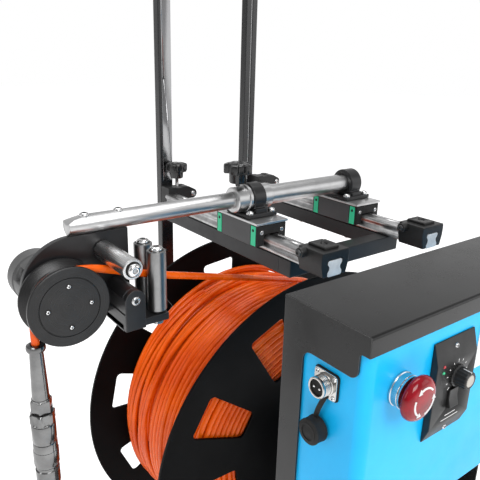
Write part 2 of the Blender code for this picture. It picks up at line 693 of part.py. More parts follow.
def make_cable():
    top, drum_end, angle = tangent_points()
    points = [Vector((PULLEY_X - WRAP_R, CABLE_WRAP_Y, HANG_Z))]
    points.append(Vector((PULLEY_X - WRAP_R, CABLE_WRAP_Y, (HANG_Z + PULLEY_Z) / 2)))
    outline = arc(PULLEY_X, PULLEY_Z, WRAP_R, 180, 90, 8)
    outline += arc(PULLEY_X, PULLEY_Z + WRAP_R - LEAVE_R, LEAVE_R, 90, 90 + angle, 4)[1:]
    slope = math.tan(math.radians(angle))
    bend = [CABLE_BEND_X[0] + (CABLE_BEND_X[1] - CABLE_BEND_X[0]) * i / 4 for i in range(5)]
    for x in (-0.200, GUIDE_X - GUIDE_R / 2, *bend):
        outline.append((x, top.y + slope * (x - top.x)))
    points += [Vector((x, lead_y(x), z)) for x, z in outline]
    cut_point = points[-1]
    tube("cable_lead", points, CABLE_R, orange_jacket())

    end = Vector((drum_end.x, CABLE_DRUM_Y, drum_end.y))
    run = end - cut_point
    start = cut_point + run.normalized() * CABLE_CUT_GAP
    steps = 6
    points = [start + (end - start) * (i / steps) for i in range(steps + 1)]
    tube("cable_run", points, CABLE_R, orange_jacket())


def make_cable_head():
    """Cable end fitting that hangs below the pulley: a thimble and sleeve, then the connector body."""
    steel = bright_steel()
    x = PULLEY_X - WRAP_R
    bore = CABLE_R + GAP
    profile = [(0, 0.4735), (0.0104, 0.4735), (0.0104, 0.486), (0.0083, 0.488), (0.0067, 0.539)]
    profile += [(0.009, 0.5395), (0.009, 0.546), (0.006, 0.546), (bore, HANG_Z - 0.002)]
    profile += [(bore, HANG_Z - GAP), (0, HANG_Z - GAP)]
    lathe("cable_sleeve", profile, "Z", (x, CABLE_WRAP_Y), steel, 20)
    profile = [(0, 0.385), (0.009, 0.385), (0.0105, 0.388), (0.0105, 0.405), (0.0117, 0.407)]
    profile += [(0.0117, 0.462), (0.0124, 0.463), (0.0124, 0.4732), (0, 0.4732)]
    lathe("cable_connector", profile, "Z", (x, CABLE_WRAP_Y), steel, 20)


# ---------------------------------------------------------------- hood and controls

def make_hood():
    """Folded sheet stand over the control box: top, front lip and two side panels with rear legs."""
    paint = black_paint()
    x0, x1 = HOOD_X
    y0, y1 = HOOD_Y
    top = box("hood", (x0, x1), (y0, y1), (HOOD_TOP - SHEET, HOOD_TOP), paint)
    parts = [box("lip", (x0, x1), (y0, y0 + SHEET), (HOOD_TOP - 0.018, HOOD_TOP - SHEET / 2), paint)]
    leg = 0.026
    foot = BASE_Z[1] + GAP
    side = [(y1, foot), (y1, HOOD_TOP - 0.0002), (y0 + 0.0002, HOOD_TOP - 0.0002)]
    side += [(y0 + 0.0002, HOOD_TOP - 0.018), (y0 + 0.010, HOOD_TOP - 0.018), (y0 + 0.011, HOOD_TOP - 0.034)]
    side += arc(y0 + 0.018, HOOD_TOP - 0.034, 0.007, 180, 270, 4)
    side += arc(y1 - leg - 0.010, HOOD_TOP - 0.051, 0.010, 90, 0, 4)
    side += [(y1 - leg, foot)]
    for i, x in enumerate((x0, x1 - SHEET)):
        parts.append(prism(f"side_{i}", side, "X", (x + 0.0001, x + SHEET - 0.0001), paint))
    for i, span in enumerate(((x0 + 0.001, x0 + 0.020), (x1 - 0.020, x1 - 0.001))):
        parts.append(box(f"flange_{i}", span, (y1 - SHEET, y1 - 0.0002), (foot, HOOD_TOP - 0.001), paint))
    weld(top, *parts)


def make_control_box():
    """Open-backed steel case with its rear cover."""
    paint = blue_paint()
    x = (HOOD_X[0] + SHEET + GAP, HOOD_X[1] - SHEET - GAP)
    back = HOOD_Y[1] - SHEET - GAP
    case = box("control_box", x, (BOX_FRONT_Y, back - 0.002), BOX_Z, paint)
    round_edges(case, 0.006, 3)
    wall = 0.002
    hollow = box("case_hollow", (x[0] + wall, x[1] - wall), (BOX_FRONT_Y + wall, back + 0.01),
                 (BOX_Z[0] + wall, BOX_Z[1] - wall), paint)
    cut(case, hollow)
    box("box_rear_cover", x, (back - 0.002 + GAP, back), BOX_Z, paint)


def make_controls():
    plastic = black_plastic()
    face = BOX_FRONT_Y - GAP
    profile = [(0.0115, face), (0.0155, face), (0.0155, face - 0.010), (0.0115, face - 0.010)]
    lathe("estop_collar", profile, "Y", ESTOP, steel_grey(), 32)
    profile = [(0, -0.2605), (0.011, -0.2605), (0.011, -0.270), (0.0185, -0.270), (0.020, -0.272)]
    profile += [(0.020, -0.2745), (0.017, -0.278), (0.010, -0.2792), (0, -0.2795)]
    lathe("estop_button", profile, "Y", ESTOP, red_plastic(), 28)
    z0, z1 = 0.476, 0.575
    x = (-0.0325, 0.0275)
    outline = [(face, z0), (face, z1), (face - 0.001, z1), (PANEL_FACE_Y, z1 - 0.018), (PANEL_FACE_Y, z0 + 0.014)]
    outline += [(face - 0.001, z0)]
    panel = prism("speed_panel", outline, "X", x, plastic)
    kx, kz = ROCKER
    pocket = box("pocket", (kx - 0.0075, kx + 0.0075), (PANEL_FACE_Y - 0.001, face - 0.002),
                 (kz - 0.0105, kz + 0.0105), plastic)
    cut(panel, pocket)
    rocker = [(-0.0028, -0.009), (0.0022, -0.009), (0.0022, 0.009), (-0.0028, 0.009), (-0.0016, 0.0)]
    tilt = math.radians(ROCKER_DEG)
    turn = [(y * math.cos(tilt) - z * math.sin(tilt), y * math.sin(tilt) + z * math.cos(tilt)) for y, z in rocker]
    piece = prism("rocker_switch", turn, "X", (-0.0065, 0.0065), plastic)
    piece.location = (kx, PANEL_FACE_Y - 0.0002, kz)
    low = PANEL_FACE_Y - GAP
    profile = [(0, low), (0.0105, low), (0.0105, low - 0.010), (0.0085, low - 0.0135), (0, low - 0.0135)]
    lathe("speed_knob", profile, "Y", KNOB, plastic, 28)


def make_connector():
    """Two-pin panel connector and its dust cap, which hangs from a strap."""
    wall = HOOD_X[0] + SHEET
    y, z = INLET
    steel = bright_steel()
    body = box("power_connector", (wall - 0.003, wall), (y - 0.013, y + 0.013), (z - 0.012, z + 0.012), steel)
    barrel = rod("barrel", "X", (y, z), (wall - 0.0135, wall - 0.001), 0.0095, steel, 28, 0.0006)
    weld(body, barrel)
    cut(body, rod("socket", "X", (y, z), (wall - 0.020, wall - 0.008), 0.0075, steel, 24))
    pins = [rod(f"pin_{i}", "X", (y + s * 0.003, z), (wall - 0.0115, wall - 0.007), 0.0012, steel, 10)
            for i, s in enumerate((-1, 1))]
    weld(body, *pins)
    cy, cz = DUST_CAP
    profile = [(0, wall - 0.014), (0.012, wall - 0.014), (0.012, wall - 0.002), (0.0095, wall - 0.002)]
    profile += [(0.0095, wall - 0.011), (0, wall - 0.011)]
    cap = lathe("dust_cap", profile, "X", (cy, cz), rubber(), 28)
    strap = [(y - 0.003, z - 0.0125), (y + 0.003, z - 0.0125), (cy + 0.003, cz + 0.010), (cy - 0.003, cz + 0.010)]
    weld(cap, prism("strap", strap, "X", (wall - 0.0045, wall - 0.0025), rubber()))


def main():
    for obj in list(bpy.data.objects):
        bpy.data.objects.remove(obj)
    make_drum()
    make_bearings()
    make_drive()
    make_base()
    make_uprights()
    make_wheels_and_feet()
    make_rails()
    for name, x in zip(("clamp_block_left", "clamp_block_right"), RAIL_X):
        clamp_block(name, x)
    star_knob("clamp_knob", CLAMP_KNOB[0], CLAMP_KNOB[1], CLAMP_TOP, 0.0158, 0.0095, 0.0026,
              (GAP, 0.0133, 0.0233, 0.0360))
    make_level_wind()
    make_head_plate()
    make_pulley()
    make_rollers()
    make_bracket()
    make_cable()
    make_cable_head()
    make_hood()
    make_control_box()
    make_controls()
    make_connector()


main()
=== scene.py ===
import json
import math

import bmesh
import bpy
from mathutils import Matrix, Vector


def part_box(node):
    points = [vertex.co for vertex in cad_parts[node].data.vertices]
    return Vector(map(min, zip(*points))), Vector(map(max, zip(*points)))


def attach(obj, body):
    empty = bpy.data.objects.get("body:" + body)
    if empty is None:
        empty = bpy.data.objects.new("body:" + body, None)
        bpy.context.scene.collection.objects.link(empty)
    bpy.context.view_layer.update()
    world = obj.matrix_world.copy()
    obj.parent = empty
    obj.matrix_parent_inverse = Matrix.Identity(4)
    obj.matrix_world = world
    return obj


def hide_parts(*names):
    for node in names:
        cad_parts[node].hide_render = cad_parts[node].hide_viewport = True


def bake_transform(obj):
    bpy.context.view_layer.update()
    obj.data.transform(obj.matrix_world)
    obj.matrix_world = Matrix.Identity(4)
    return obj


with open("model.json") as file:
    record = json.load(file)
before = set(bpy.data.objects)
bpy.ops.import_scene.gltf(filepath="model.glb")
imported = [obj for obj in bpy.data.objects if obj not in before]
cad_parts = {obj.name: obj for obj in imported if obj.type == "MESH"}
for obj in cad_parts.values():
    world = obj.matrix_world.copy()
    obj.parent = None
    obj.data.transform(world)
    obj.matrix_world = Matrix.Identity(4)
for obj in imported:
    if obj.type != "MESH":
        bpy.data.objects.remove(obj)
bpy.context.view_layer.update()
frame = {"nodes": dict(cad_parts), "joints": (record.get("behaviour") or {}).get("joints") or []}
JOINTS = {joint["name"]: joint for joint in frame["joints"]}
NODES = frame["nodes"]
MATS = {}
MM = 0.001

# Camera: location in metres, then azimuth, downward tilt and roll in degrees
CAMERA_AT = (-0.4234, -0.4921, 0.8040)
CAMERA_ANGLES = (37.287, 18.239, 1.480)
CAMERA_LENS = 42.0

# Cable, as laid out in the CAD part
CABLE_R = 0.004
CABLE_Y = -0.006
CABLE_WRAP_Y = -0.0125
CABLE_BEND_X = (-0.1715, -0.160)
CABLE_DRUM_Y = 0.075
CABLE_JOIN_X = -0.055
GUIDE_X = -0.1744
WRAP_R = 0.0325
LEAVE_R = 0.130
CABLE_END_Z = 0.478
GAP = 0.0003

PULLEY = Vector(JOINTS["pulley_spin"]["pos_m"])
DRUM = Vector(JOINTS["drum_spin"]["pos_m"])
PACK_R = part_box("cable_winding")[1].z - DRUM.z
PULLEY_XZ = (PULLEY.x, PULLEY.z)
DRUM_XZ = (DRUM.x, DRUM.z)
ARM_YZ = tuple((a + b) / 2 for a, b in zip(*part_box("arm_bar")))[1:]
RAILS = tuple((name, sum(c.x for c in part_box(f"rail_{name}")) / 2) for name in ("left", "right"))
FLANGE_R, FLANGE_T, WINDOWS = 0.240, 0.004, 10
TUBE = 0.020
INLET_YZ = (-0.214, 0.546)
DUST_CAP_YZ = (-0.209, 0.500)


# ---------------------------------------------------------------- mesh helpers

def at(base, sign, *points):
    """Profile points from (radius, distance from base[, sides]) in millimetres, along the axis by sign."""
    return [(r * MM, base + sign * w * MM, *sides) for r, w, *sides in points]


def finish_mesh(bm, name, mat, sharp_deg=35, weighted=False):
    """Turns a bmesh into a shown object with soft and sharp edges set. mat is a name in MATS."""
    bmesh.ops.remove_doubles(bm, verts=bm.verts, dist=1e-7)
    bmesh.ops.recalc_face_normals(bm, faces=bm.faces)
    mesh = bpy.data.meshes.new(name)
    bm.to_mesh(mesh)
    bm.free()
    mesh.materials.append(MATS[mat])
    mesh.shade_smooth()
    mesh.set_sharp_from_angle(angle=math.radians(sharp_deg))
    obj = bpy.data.objects.new(name, mesh)
    bpy.context.scene.collection.objects.link(obj)
    if weighted:
        obj.modifiers.new("weighted", "WEIGHTED_NORMAL")
        apply_modifiers(obj)
    return obj


def apply_modifiers(obj):
    """Bakes an object's modifiers into its mesh."""
    depsgraph = bpy.context.evaluated_depsgraph_get()
    mesh = bpy.data.meshes.new_from_object(obj.evaluated_get(depsgraph))
    obj.modifiers.clear()
    obj.data = mesh


def bevel_sharp(bm, width, segments=2, angle_deg=40):
    """Rounds every edge that is sharper than the angle."""
    limit = math.radians(angle_deg)
    edges = [e for e in bm.edges if len(e.link_faces) == 2 and e.calc_face_angle(0) > limit]
    bmesh.ops.bevel(bm, geom=edges, offset=width, segments=segments, profile=0.5,
                    affect="EDGES", clamp_overlap=True)


def block(name, x, y, z, mat, bevel=0.0008, segments=2):
    """A block between two limits along each axis, with rounded edges."""
    bm = bmesh.new()
    bmesh.ops.create_cube(bm, size=1.0)
    for axis, (low, high) in enumerate((x, y, z)):
        for v in bm.verts:
            v.co[axis] = (low + high) / 2 + v.co[axis] * (high - low)
    bevel_sharp(bm, bevel, segments)
    return finish_mesh(bm, name, mat, 50, weighted=True)


def arc(cu, cv, r, start, end, steps):
    """Points on a circle from one angle to another, in degrees."""
    angles = [math.radians(start + (end - start) * i / steps) for i in range(steps + 1)]
    return [(cu + r * math.cos(a), cv + r * math.sin(a)) for a in angles]


def place(axis, u, v, w):
    """Pairs are (Y, Z) along X, (X, Z) along Y and (X, Y) along Z; w is the place along the axis."""
    return {"X": (w, u, v), "Y": (u, w, v), "Z": (u, v, w)}[axis]


def mirrored(x, half):
    """An outline from its right half, given as (distance from x, height)."""
    return [(x + u, v) for u, v in half] + [(x - u, v) for u, v in reversed(half)]


def circle(centre, r, count, first=0):
    """Evenly spaced points on a circle, from an angle in degrees."""
    return arc(*centre, r, first, first + 360, count)[:-1]


def across(axis, point):
    """The two coordinates of a point across an axis, in the order that place takes."""
    x, y, z = point
    return {"X": (y, z), "Y": (x, z), "Z": (x, y)}[axis]


def prism(name, outline, axis, span, mat, bevel=0.0006, segments=2):
    """An outline pushed along an axis, with rounded edges."""
    bm = bmesh.new()
    low = [bm.verts.new(place(axis, u, v, span[0])) for u, v in outline]
    high = [bm.verts.new(place(axis, u, v, span[1])) for u, v in outline]
    bm.faces.new(low)
    bm.faces.new(high)
    count = len(outline)
    for i in range(count):
        j = (i + 1) % count
        bm.faces.new((low[i], low[j], high[j], high[i]))
    bmesh.ops.recalc_face_normals(bm, faces=bm.faces)
    if bevel:
        bevel_sharp(bm, bevel, segments)
    return finish_mesh(bm, name, mat, 50, weighted=True)


def turned(name, axis, centre, profile, mat, segments=64, sharp_deg=30, bumps=None):
    """A profile of (radius, place along the axis[, sides]) turned about an axis.

    A third value gives that ring a number of flat sides, as on a nut. A profile that starts and ends off
    the axis closes on itself, so it leaves a bore. bumps is (ribs, height over radius).
    """
    bm = bmesh.new()
    rings = []
    for entry in profile:
        r, w = entry[0], entry[1]
        sides = entry[2] if len(entry) > 2 else 0
        ring = []
        for i in range(1 if r == 0 else segments):
            a = 2 * math.pi * i / segments
            radius = r
            if sides:
                half = math.pi / sides
                radius = r * math.cos(half) / math.cos((a % (2 * half)) - half)
            if bumps and not sides:
                radius *= 1 + bumps[1] * math.cos(bumps[0] * a)
            u = centre[0] + radius * math.cos(a)
            v = centre[1] + radius * math.sin(a)
            ring.append(bm.verts.new(place(axis, u, v, w)))
        rings.append(ring)
    closed = profile[0][0] > 0
    for k in range(len(rings) if closed else len(rings) - 1):
        a, b = rings[k], rings[(k + 1) % len(rings)]
        for i in range(segments):
            j = (i + 1) % segments
            corners = [a[i % len(a)], a[j % len(a)], b[j % len(b)], b[i % len(b)]]
            unique = list(dict.fromkeys(corners))
            if len(unique) > 2:
                bm.faces.new(unique)
    return finish_mesh(bm, name, mat, sharp_deg)


def rounded(inner, outer, low, high, edge=0.0006):
    """Profile of a ring or, with no inner radius, of a disc, with broken outer edges."""
    profile = [(inner, low), (outer - edge, low), (outer - edge * 0.3, low + edge * 0.3)]
    profile += [(outer, low + edge), (outer, high - edge), (outer - edge * 0.3, high - edge * 0.3)]
    return profile + [(outer - edge, high), (inner, high)]


def rod(name, axis, centre, r, span, mat, segments=32):
    """A round bar between two places along its axis, as a pin or as a cutter."""
    low, high = span
    return turned(name, axis, centre, [(0, low), (r, low), (r, high), (0, high)], mat, segments)


def screw(name, axis, centre, base, sign, r, height, mat, key=0.5):
    """A domed screw head with a hexagon socket. It stands from base along the axis, the way of sign."""
    steps = [(1.0, 0.0), (1.0, 0.35), (0.93, 0.62), (0.80, 0.84), (0.64, 0.97), (key + 0.06, 1.0)]
    steps += [(key, 0.96, 6), (key * 0.96, 0.35, 6), (0, 0.35)]
    profile = [(0, base)] + [(r * u, base + sign * height * v, *sides) for u, v, *sides in steps]
    return turned(name, axis, centre, profile, mat, 24, 40)


def nut(name, axis, centre, span, r, mat):
    """A hexagon nut with chamfered corners."""
    low, high = sorted(span)
    rim = (high - low) * 0.15
    profile = [(0, low), (r * 0.86, low), (r, low + rim, 6), (r, high - rim, 6), (r * 0.86, high),
               (0, high)]
    return turned(name, axis, centre, profile, mat, 24, 25)


def cut(obj, *tools):
    """Cuts each tool out of an object and deletes the tool."""
    for tool in tools:
        mod = obj.modifiers.new("cut", "BOOLEAN")
        mod.operation = "DIFFERENCE"
        mod.solver = "EXACT"
        mod.object = tool
    apply_modifiers(obj)
    for tool in tools:
        bpy.data.objects.remove(tool)


def sweep(name, points, radius, mat, sides=14):
    """A round tube along a list of points, closed at both ends."""
    bm = bmesh.new()
    side = None
    rings = []
    for i, point in enumerate(points):
        ahead = points[min(i + 1, len(points) - 1)]
        behind = points[max(i - 1, 0)]
        tangent = (ahead - behind).normalized()
        side = tangent.orthogonal() if side is None else side - tangent * side.dot(tangent)
        side.normalize()
        other = tangent.cross(side)
        ring = []
        for k in range(sides):
            a = 2 * math.pi * k / sides
            ring.append(bm.verts.new(point + radius * (side * math.cos(a) + other * math.sin(a))))
        rings.append(ring)
    for a, b in zip(rings, rings[1:]):
        for k in range(sides):
            j = (k + 1) % sides
            bm.faces.new((a[k], a[j], b[j], b[k]))
    bm.faces.new(rings[0])
    bm.faces.new(rings[-1])
    return finish_mesh(bm, name, mat, 60)


def mount(obj, body, slot, *nodes):
    """The piece moves with a body and may stand for CAD nodes, which it hides. slot is not used."""
    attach(obj, body)
    if nodes:
        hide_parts(*nodes)
    return obj


def bolts(prefix, axis, spots, base, sign, r, height, mat, body, slot="bright_steel", key=0.5):
    """Screws at several spots, numbered from 0."""
    for k, spot in enumerate(spots):
        mount(screw(f"{prefix}_{k}", axis, spot, base, sign, r, height, mat, key), body, slot)


# ---------------------------------------------------------------- materials

def grey(value):
    return (value, value, value)


def start_material(name):
    """A new material, kept in MATS under its name."""
    mat = MATS[name] = bpy.data.materials.new(name)
    mat.use_nodes = True
    tree = mat.node_tree
    return tree.nodes, tree.links, tree.nodes["Principled BSDF"]


def object_vector(nodes, links, stretch=(1, 1, 1)):
    """Object coordinates, stretched for brushed grain."""
    tex = nodes.new("ShaderNodeTexCoord")
    mapping = nodes.new("ShaderNodeMapping")
    mapping.inputs["Scale"].default_value = stretch
    links.new(tex.outputs["Object"], mapping.inputs["Vector"])
    return mapping.outputs["Vector"]


def noise(nodes, links, vector, scale, detail=3.0, rough=0.55):
    """The factor of a noise texture."""
    node = nodes.new("ShaderNodeTexNoise")
    node.inputs["Scale"].default_value = scale
    node.inputs["Detail"].default_value = detail
    node.inputs["Roughness"].default_value = rough
    links.new(vector, node.inputs["Vector"])
    return node.outputs["Fac"]


def remap(nodes, links, value, low, high, out_low, out_high):
    """A value moved from one range to another."""
    node = nodes.new("ShaderNodeMapRange")
    node.inputs["From Min"].default_value = low
    node.inputs["From Max"].default_value = high
    node.inputs["To Min"].default_value = out_low
    node.inputs["To Max"].default_value = out_high
    links.new(value, node.inputs["Value"])
    return node.outputs["Result"]


def mix_color(nodes, links, factor, first, second):
    """Mixes two colours; each is a plain colour or another node's output."""
    node = nodes.new("ShaderNodeMix")
    node.data_type = "RGBA"
    links.new(factor, node.inputs["Factor"])
    for socket, value in (("A", first), ("B", second)):
        target = next(s for s in node.inputs if s.name == socket and s.type == "RGBA")
        if isinstance(value, tuple):
            target.default_value = (*value, 1.0)
        else:
            links.new(value, target)
    return next(s for s in node.outputs if s.type == "RGBA")


def bump(nodes, links, shader, height, strength, distance):
    """Adds a height to a shader's normal."""
    node = nodes.new("ShaderNodeBump")
    node.inputs["Strength"].default_value = strength
    node.inputs["Distance"].default_value = distance
    links.new(height, node.inputs["Height"])
    links.new(node.outputs["Normal"], shader.inputs["Normal"])


# Mask for the lighter edge colour in surface, which is partly wear and partly painted highlight.
def near_edge(nodes, links, radius=0.0007):
    """1 along the outer edges of a piece and 0 on its faces."""
    soft = nodes.new("ShaderNodeBevel")
    soft.samples = 4
    soft.inputs["Radius"].default_value = radius
    geometry = nodes.new("ShaderNodeNewGeometry")
    dot = nodes.new("ShaderNodeVectorMath")
    dot.operation = "DOT_PRODUCT"
    links.new(soft.outputs["Normal"], dot.inputs[0])
    links.new(geometry.outputs["Normal"], dot.inputs[1])
    return remap(nodes, links, dot.outputs["Value"], 0.86, 0.985, 0.75, 0)


def surface(name, dark, light, rough, metallic=0.0, patch=14.0, grain=900.0, stretch=(1, 1, 1),
            depth=0.00004, strength=0.25, edge=None, specular=0.5):
    """General finish: patchy colour, uneven gloss, fine grain, and lighter edges where edge is a colour,
    partly wear and partly painted highlight.
    """
    nodes, links, shader = start_material(name)
    vector = object_vector(nodes, links)
    fine_vector = object_vector(nodes, links, stretch)
    patches = noise(nodes, links, vector, patch, 5.0, 0.6)
    fine = noise(nodes, links, fine_vector, grain, 2.0)
    color = mix_color(nodes, links, remap(nodes, links, patches, 0.35, 0.65, 0, 1), dark, light)
    # Lighter colour along the edges: partly wear, partly painted highlight.
    if edge:
        color = mix_color(nodes, links, near_edge(nodes, links), color, edge)
    links.new(color, shader.inputs["Base Color"])
    gloss = noise(nodes, links, fine_vector if stretch != (1, 1, 1) else vector, patch * 3, 4.0, 0.7)
    links.new(remap(nodes, links, gloss, 0.3, 0.7, rough[0], rough[1]), shader.inputs["Roughness"])
    shader.inputs["Metallic"].default_value = metallic
    shader.inputs["Specular IOR Level"].default_value = specular
    bump(nodes, links, shader, fine, strength, depth)


def ringed_metal(name, dark, light, rough, axis, centre, grooves=2500.0, metallic=1.0, strength=0.25):
    """Metal turned on a lathe: its fine marks run in circles about the axis."""
    nodes, links, shader = start_material(name)
    vector = object_vector(nodes, links)
    offset = nodes.new("ShaderNodeVectorMath")
    offset.operation = "SUBTRACT"
    offset.inputs[1].default_value = centre
    links.new(vector, offset.inputs[0])
    flat = nodes.new("ShaderNodeVectorMath")
    flat.operation = "MULTIPLY"
    flat.inputs[1].default_value = {"X": (0, 1, 1), "Y": (1, 0, 1), "Z": (1, 1, 0)}[axis]
    links.new(offset.outputs[0], flat.inputs[0])
    radius = nodes.new("ShaderNodeVectorMath")
    radius.operation = "LENGTH"
    links.new(flat.outputs[0], radius.inputs[0])
    along = nodes.new("ShaderNodeVectorMath")
    along.operation = "DOT_PRODUCT"
    along.inputs[1].default_value = {"X": (1, 0, 0), "Y": (0, 1, 0), "Z": (0, 0, 1)}[axis]
    links.new(offset.outputs[0], along.inputs[0])
    pack = nodes.new("ShaderNodeCombineXYZ")
    links.new(radius.outputs["Value"], pack.inputs["X"])
    links.new(along.outputs["Value"], pack.inputs["Y"])
    marks = noise(nodes, links, pack.outputs["Vector"], grooves, 2.0, 0.7)
    patches = noise(nodes, links, vector, 40.0, 4.0, 0.6)
    links.new(mix_color(nodes, links, remap(nodes, links, patches, 0.3, 0.7, 0, 1), dark, light),
              shader.inputs["Base Color"])
    links.new(remap(nodes, links, marks, 0.3, 0.7, rough[0], rough[1]), shader.inputs["Roughness"])
    shader.inputs["Metallic"].default_value = metallic
    bump(nodes, links, shader, marks, strength, 0.00003)
    tangent = nodes.new("ShaderNodeTangent")
    tangent.direction_type = "RADIAL"
    tangent.axis = axis
    links.new(tangent.outputs["Tangent"], shader.inputs["Tangent"])
    shader.inputs["Anisotropic"].default_value = 0.75


def cable_jacket():
    """Glossy extruded polyurethane with slight wrinkles and scuffs."""
    nodes, links, shader = start_material("cable_jacket")
    vector = object_vector(nodes, links)
    patches = noise(nodes, links, vector, 18.0, 4.0, 0.5)
    color = mix_color(nodes, links, remap(nodes, links, patches, 0.35, 0.68, 0, 1),
                      (0.66, 0.070, 0.0015), (0.84, 0.120, 0.0022))
    scuff = noise(nodes, links, object_vector(nodes, links, (1, 3, 1)), 45.0, 4.0, 0.5)
    color = mix_color(nodes, links, remap(nodes, links, scuff, 0.68, 0.80, 0, 0.25), color,
                      (0.95, 0.24, 0.02))
    links.new(color, shader.inputs["Base Color"])
    links.new(remap(nodes, links, scuff, 0.35, 0.75, 0.20, 0.34), shader.inputs["Roughness"])
    shader.inputs["Specular IOR Level"].default_value = 0.30
    bump(nodes, links, shader, scuff, 0.05, 0.00010)


def make_materials():
    surface("gloss_black", (0.0055, 0.0055, 0.006), (0.010, 0.010, 0.011), (0.22, 0.32), patch=6.0,
            grain=1400, depth=0.00002, strength=0.15, specular=0.6)
    # flange_black: the lighter edges are painted highlight along the flange and window edges.
    surface("flange_black", (0.0015, 0.0015, 0.0016), (0.003, 0.003, 0.0032), (0.40, 0.52), grain=1100,
            depth=0.00004, specular=0.07, edge=grey(0.06))
    surface("powder_black", (0.014, 0.014, 0.015), (0.022, 0.022, 0.023), (0.36, 0.50), grain=1800,
            depth=0.00005, strength=0.3, specular=0.35, edge=grey(0.10))
    surface("hood_grey", grey(0.0045), grey(0.0085), (0.20, 0.30), patch=9.0, grain=1500, depth=0.00004,
            strength=0.3, specular=0.32, edge=grey(0.16))
    surface("moulded_black", grey(0.0075), grey(0.016), (0.36, 0.52), grain=2200, depth=0.00006,
            strength=0.35, specular=0.35, edge=grey(0.05))
    # knob_black: the lighter edges are painted highlight on the lobes.
    surface("knob_black", grey(0.0060), grey(0.012), (0.14, 0.24), grain=1600, depth=0.00003,
            strength=0.25, specular=0.55, edge=grey(0.12))
    surface("rubber_black", grey(0.008), (0.018, 0.017, 0.016), (0.60, 0.85), grain=1300, depth=0.00015,
            strength=0.4, specular=0.3)
    surface("block_grey", (0.045, 0.045, 0.046), (0.065, 0.065, 0.067), (0.34, 0.50), metallic=0.4,
            grain=1600, stretch=(1, 0.06, 1), depth=0.00004, edge=grey(0.2))
    surface("anodised", (0.0075, 0.0075, 0.008), (0.015, 0.015, 0.016), (0.28, 0.40), grain=2400,
            depth=0.00003, strength=0.3, specular=0.4, edge=(0.14, 0.14, 0.15))
    surface("bright_plate", grey(0.42), grey(0.62), (0.28, 0.42), metallic=1.0, grain=1500,
            stretch=(1, 0.03, 1), strength=0.3)
    surface("rail_steel", grey(0.30), grey(0.52), (0.24, 0.40), patch=60.0, metallic=1.0, grain=1700,
            stretch=(1, 0.015, 1), strength=0.3)
    surface("arm_steel", grey(0.44), grey(0.53), (0.28, 0.38), patch=30.0, metallic=1.0, grain=1500,
            stretch=(0.02, 1, 1), strength=0.3)
    surface("roller_steel", grey(0.22), grey(0.29), (0.30, 0.40), patch=40.0, metallic=1.0, grain=1300,
            stretch=(1, 1, 0.03), strength=0.25)
    surface("bright_roller", grey(0.62), grey(0.74), (0.22, 0.32), patch=40.0, metallic=1.0, grain=1300,
            stretch=(1, 0.02, 1), strength=0.25)
    surface("sleeve_steel", grey(0.15), (0.22, 0.22, 0.218), (0.12, 0.20), patch=40.0, metallic=1.0,
            grain=1100, stretch=(1, 1, 0.1), strength=0.25)
    surface("dark_mirror", (0.30, 0.30, 0.305), (0.34, 0.34, 0.345), (0.16, 0.22), patch=2.0,
            metallic=1.0, grain=300, depth=0.000005, strength=0.1)
    surface("chrome", grey(0.60), grey(0.72), (0.07, 0.16), metallic=1.0, grain=900, depth=0.00001,
            strength=0.15)
    surface("screw_steel", grey(0.40), grey(0.56), (0.18, 0.32), metallic=1.0, grain=1600, strength=0.3)
    surface("nickel", (0.42, 0.41, 0.39), (0.58, 0.57, 0.55), (0.14, 0.26), metallic=1.0, grain=1500,
            strength=0.25)
    surface("cast_alloy", (0.22, 0.22, 0.23), (0.36, 0.36, 0.37), (0.35, 0.55), metallic=0.9, grain=1100,
            depth=0.00012, strength=0.5, edge=grey(0.55))
    surface("dark_steel", (0.05, 0.05, 0.052), (0.10, 0.10, 0.102), (0.30, 0.48), metallic=0.9,
            grain=1500, strength=0.3, edge=grey(0.3))
    # blue_paint: the lighter blue edges are painted highlight.
    surface("blue_paint", (0.004, 0.42, 0.83), (0.006, 0.47, 0.89), (0.28, 0.40), grain=1300,
            depth=0.00006, strength=0.25, specular=0.25, edge=(0.20, 0.68, 0.98))
    surface("green_strip", (0.010, 0.46, 0.22), (0.020, 0.58, 0.30), (0.35, 0.5), grain=1500)
    surface("white_print", grey(0.70), (0.82, 0.82, 0.81), (0.4, 0.6), grain=1500)
    surface("pale_insert", (0.40, 0.38, 0.34), (0.58, 0.56, 0.50), (0.3, 0.5), grain=1500)
    surface("red_shell", (0.14, 0.001, 0.005), (0.30, 0.002, 0.010), (0.06, 0.12), patch=60.0, grain=700,
            depth=0.00001, strength=0.1, specular=0.35)
    surface("cut_steel", grey(0.50), (0.66, 0.66, 0.65), (0.5, 0.65), metallic=0.05, patch=90.0,
            grain=1500, strength=0.4)
    # collar_metal: the faint blue tint is painted reflection of the blue case.
    surface("collar_metal", (0.45, 0.50, 0.52), (0.60, 0.66, 0.68), (0.14, 0.26), metallic=1.0,
            grain=1500, strength=0.2)
    surface("red_lamp", (0.35, 0.01, 0.02), (0.5, 0.02, 0.03), (0.1, 0.2), grain=1500)
    surface("green_lamp", (0.02, 0.40, 0.18), (0.04, 0.55, 0.26), (0.1, 0.2), grain=1500)
    ringed_metal("pulley_metal", (0.009, 0.009, 0.0093), (0.016, 0.016, 0.0165), (0.24, 0.36), "Y",
                 PULLEY, 1800, 0.35, 0.5)
    ringed_metal("encoder_alloy", grey(0.070), grey(0.11), (0.36, 0.52), "Y", PULLEY, 1500, 0.5, 0.4)
    cable_jacket()


# ---------------------------------------------------------------- camera, stage and lights

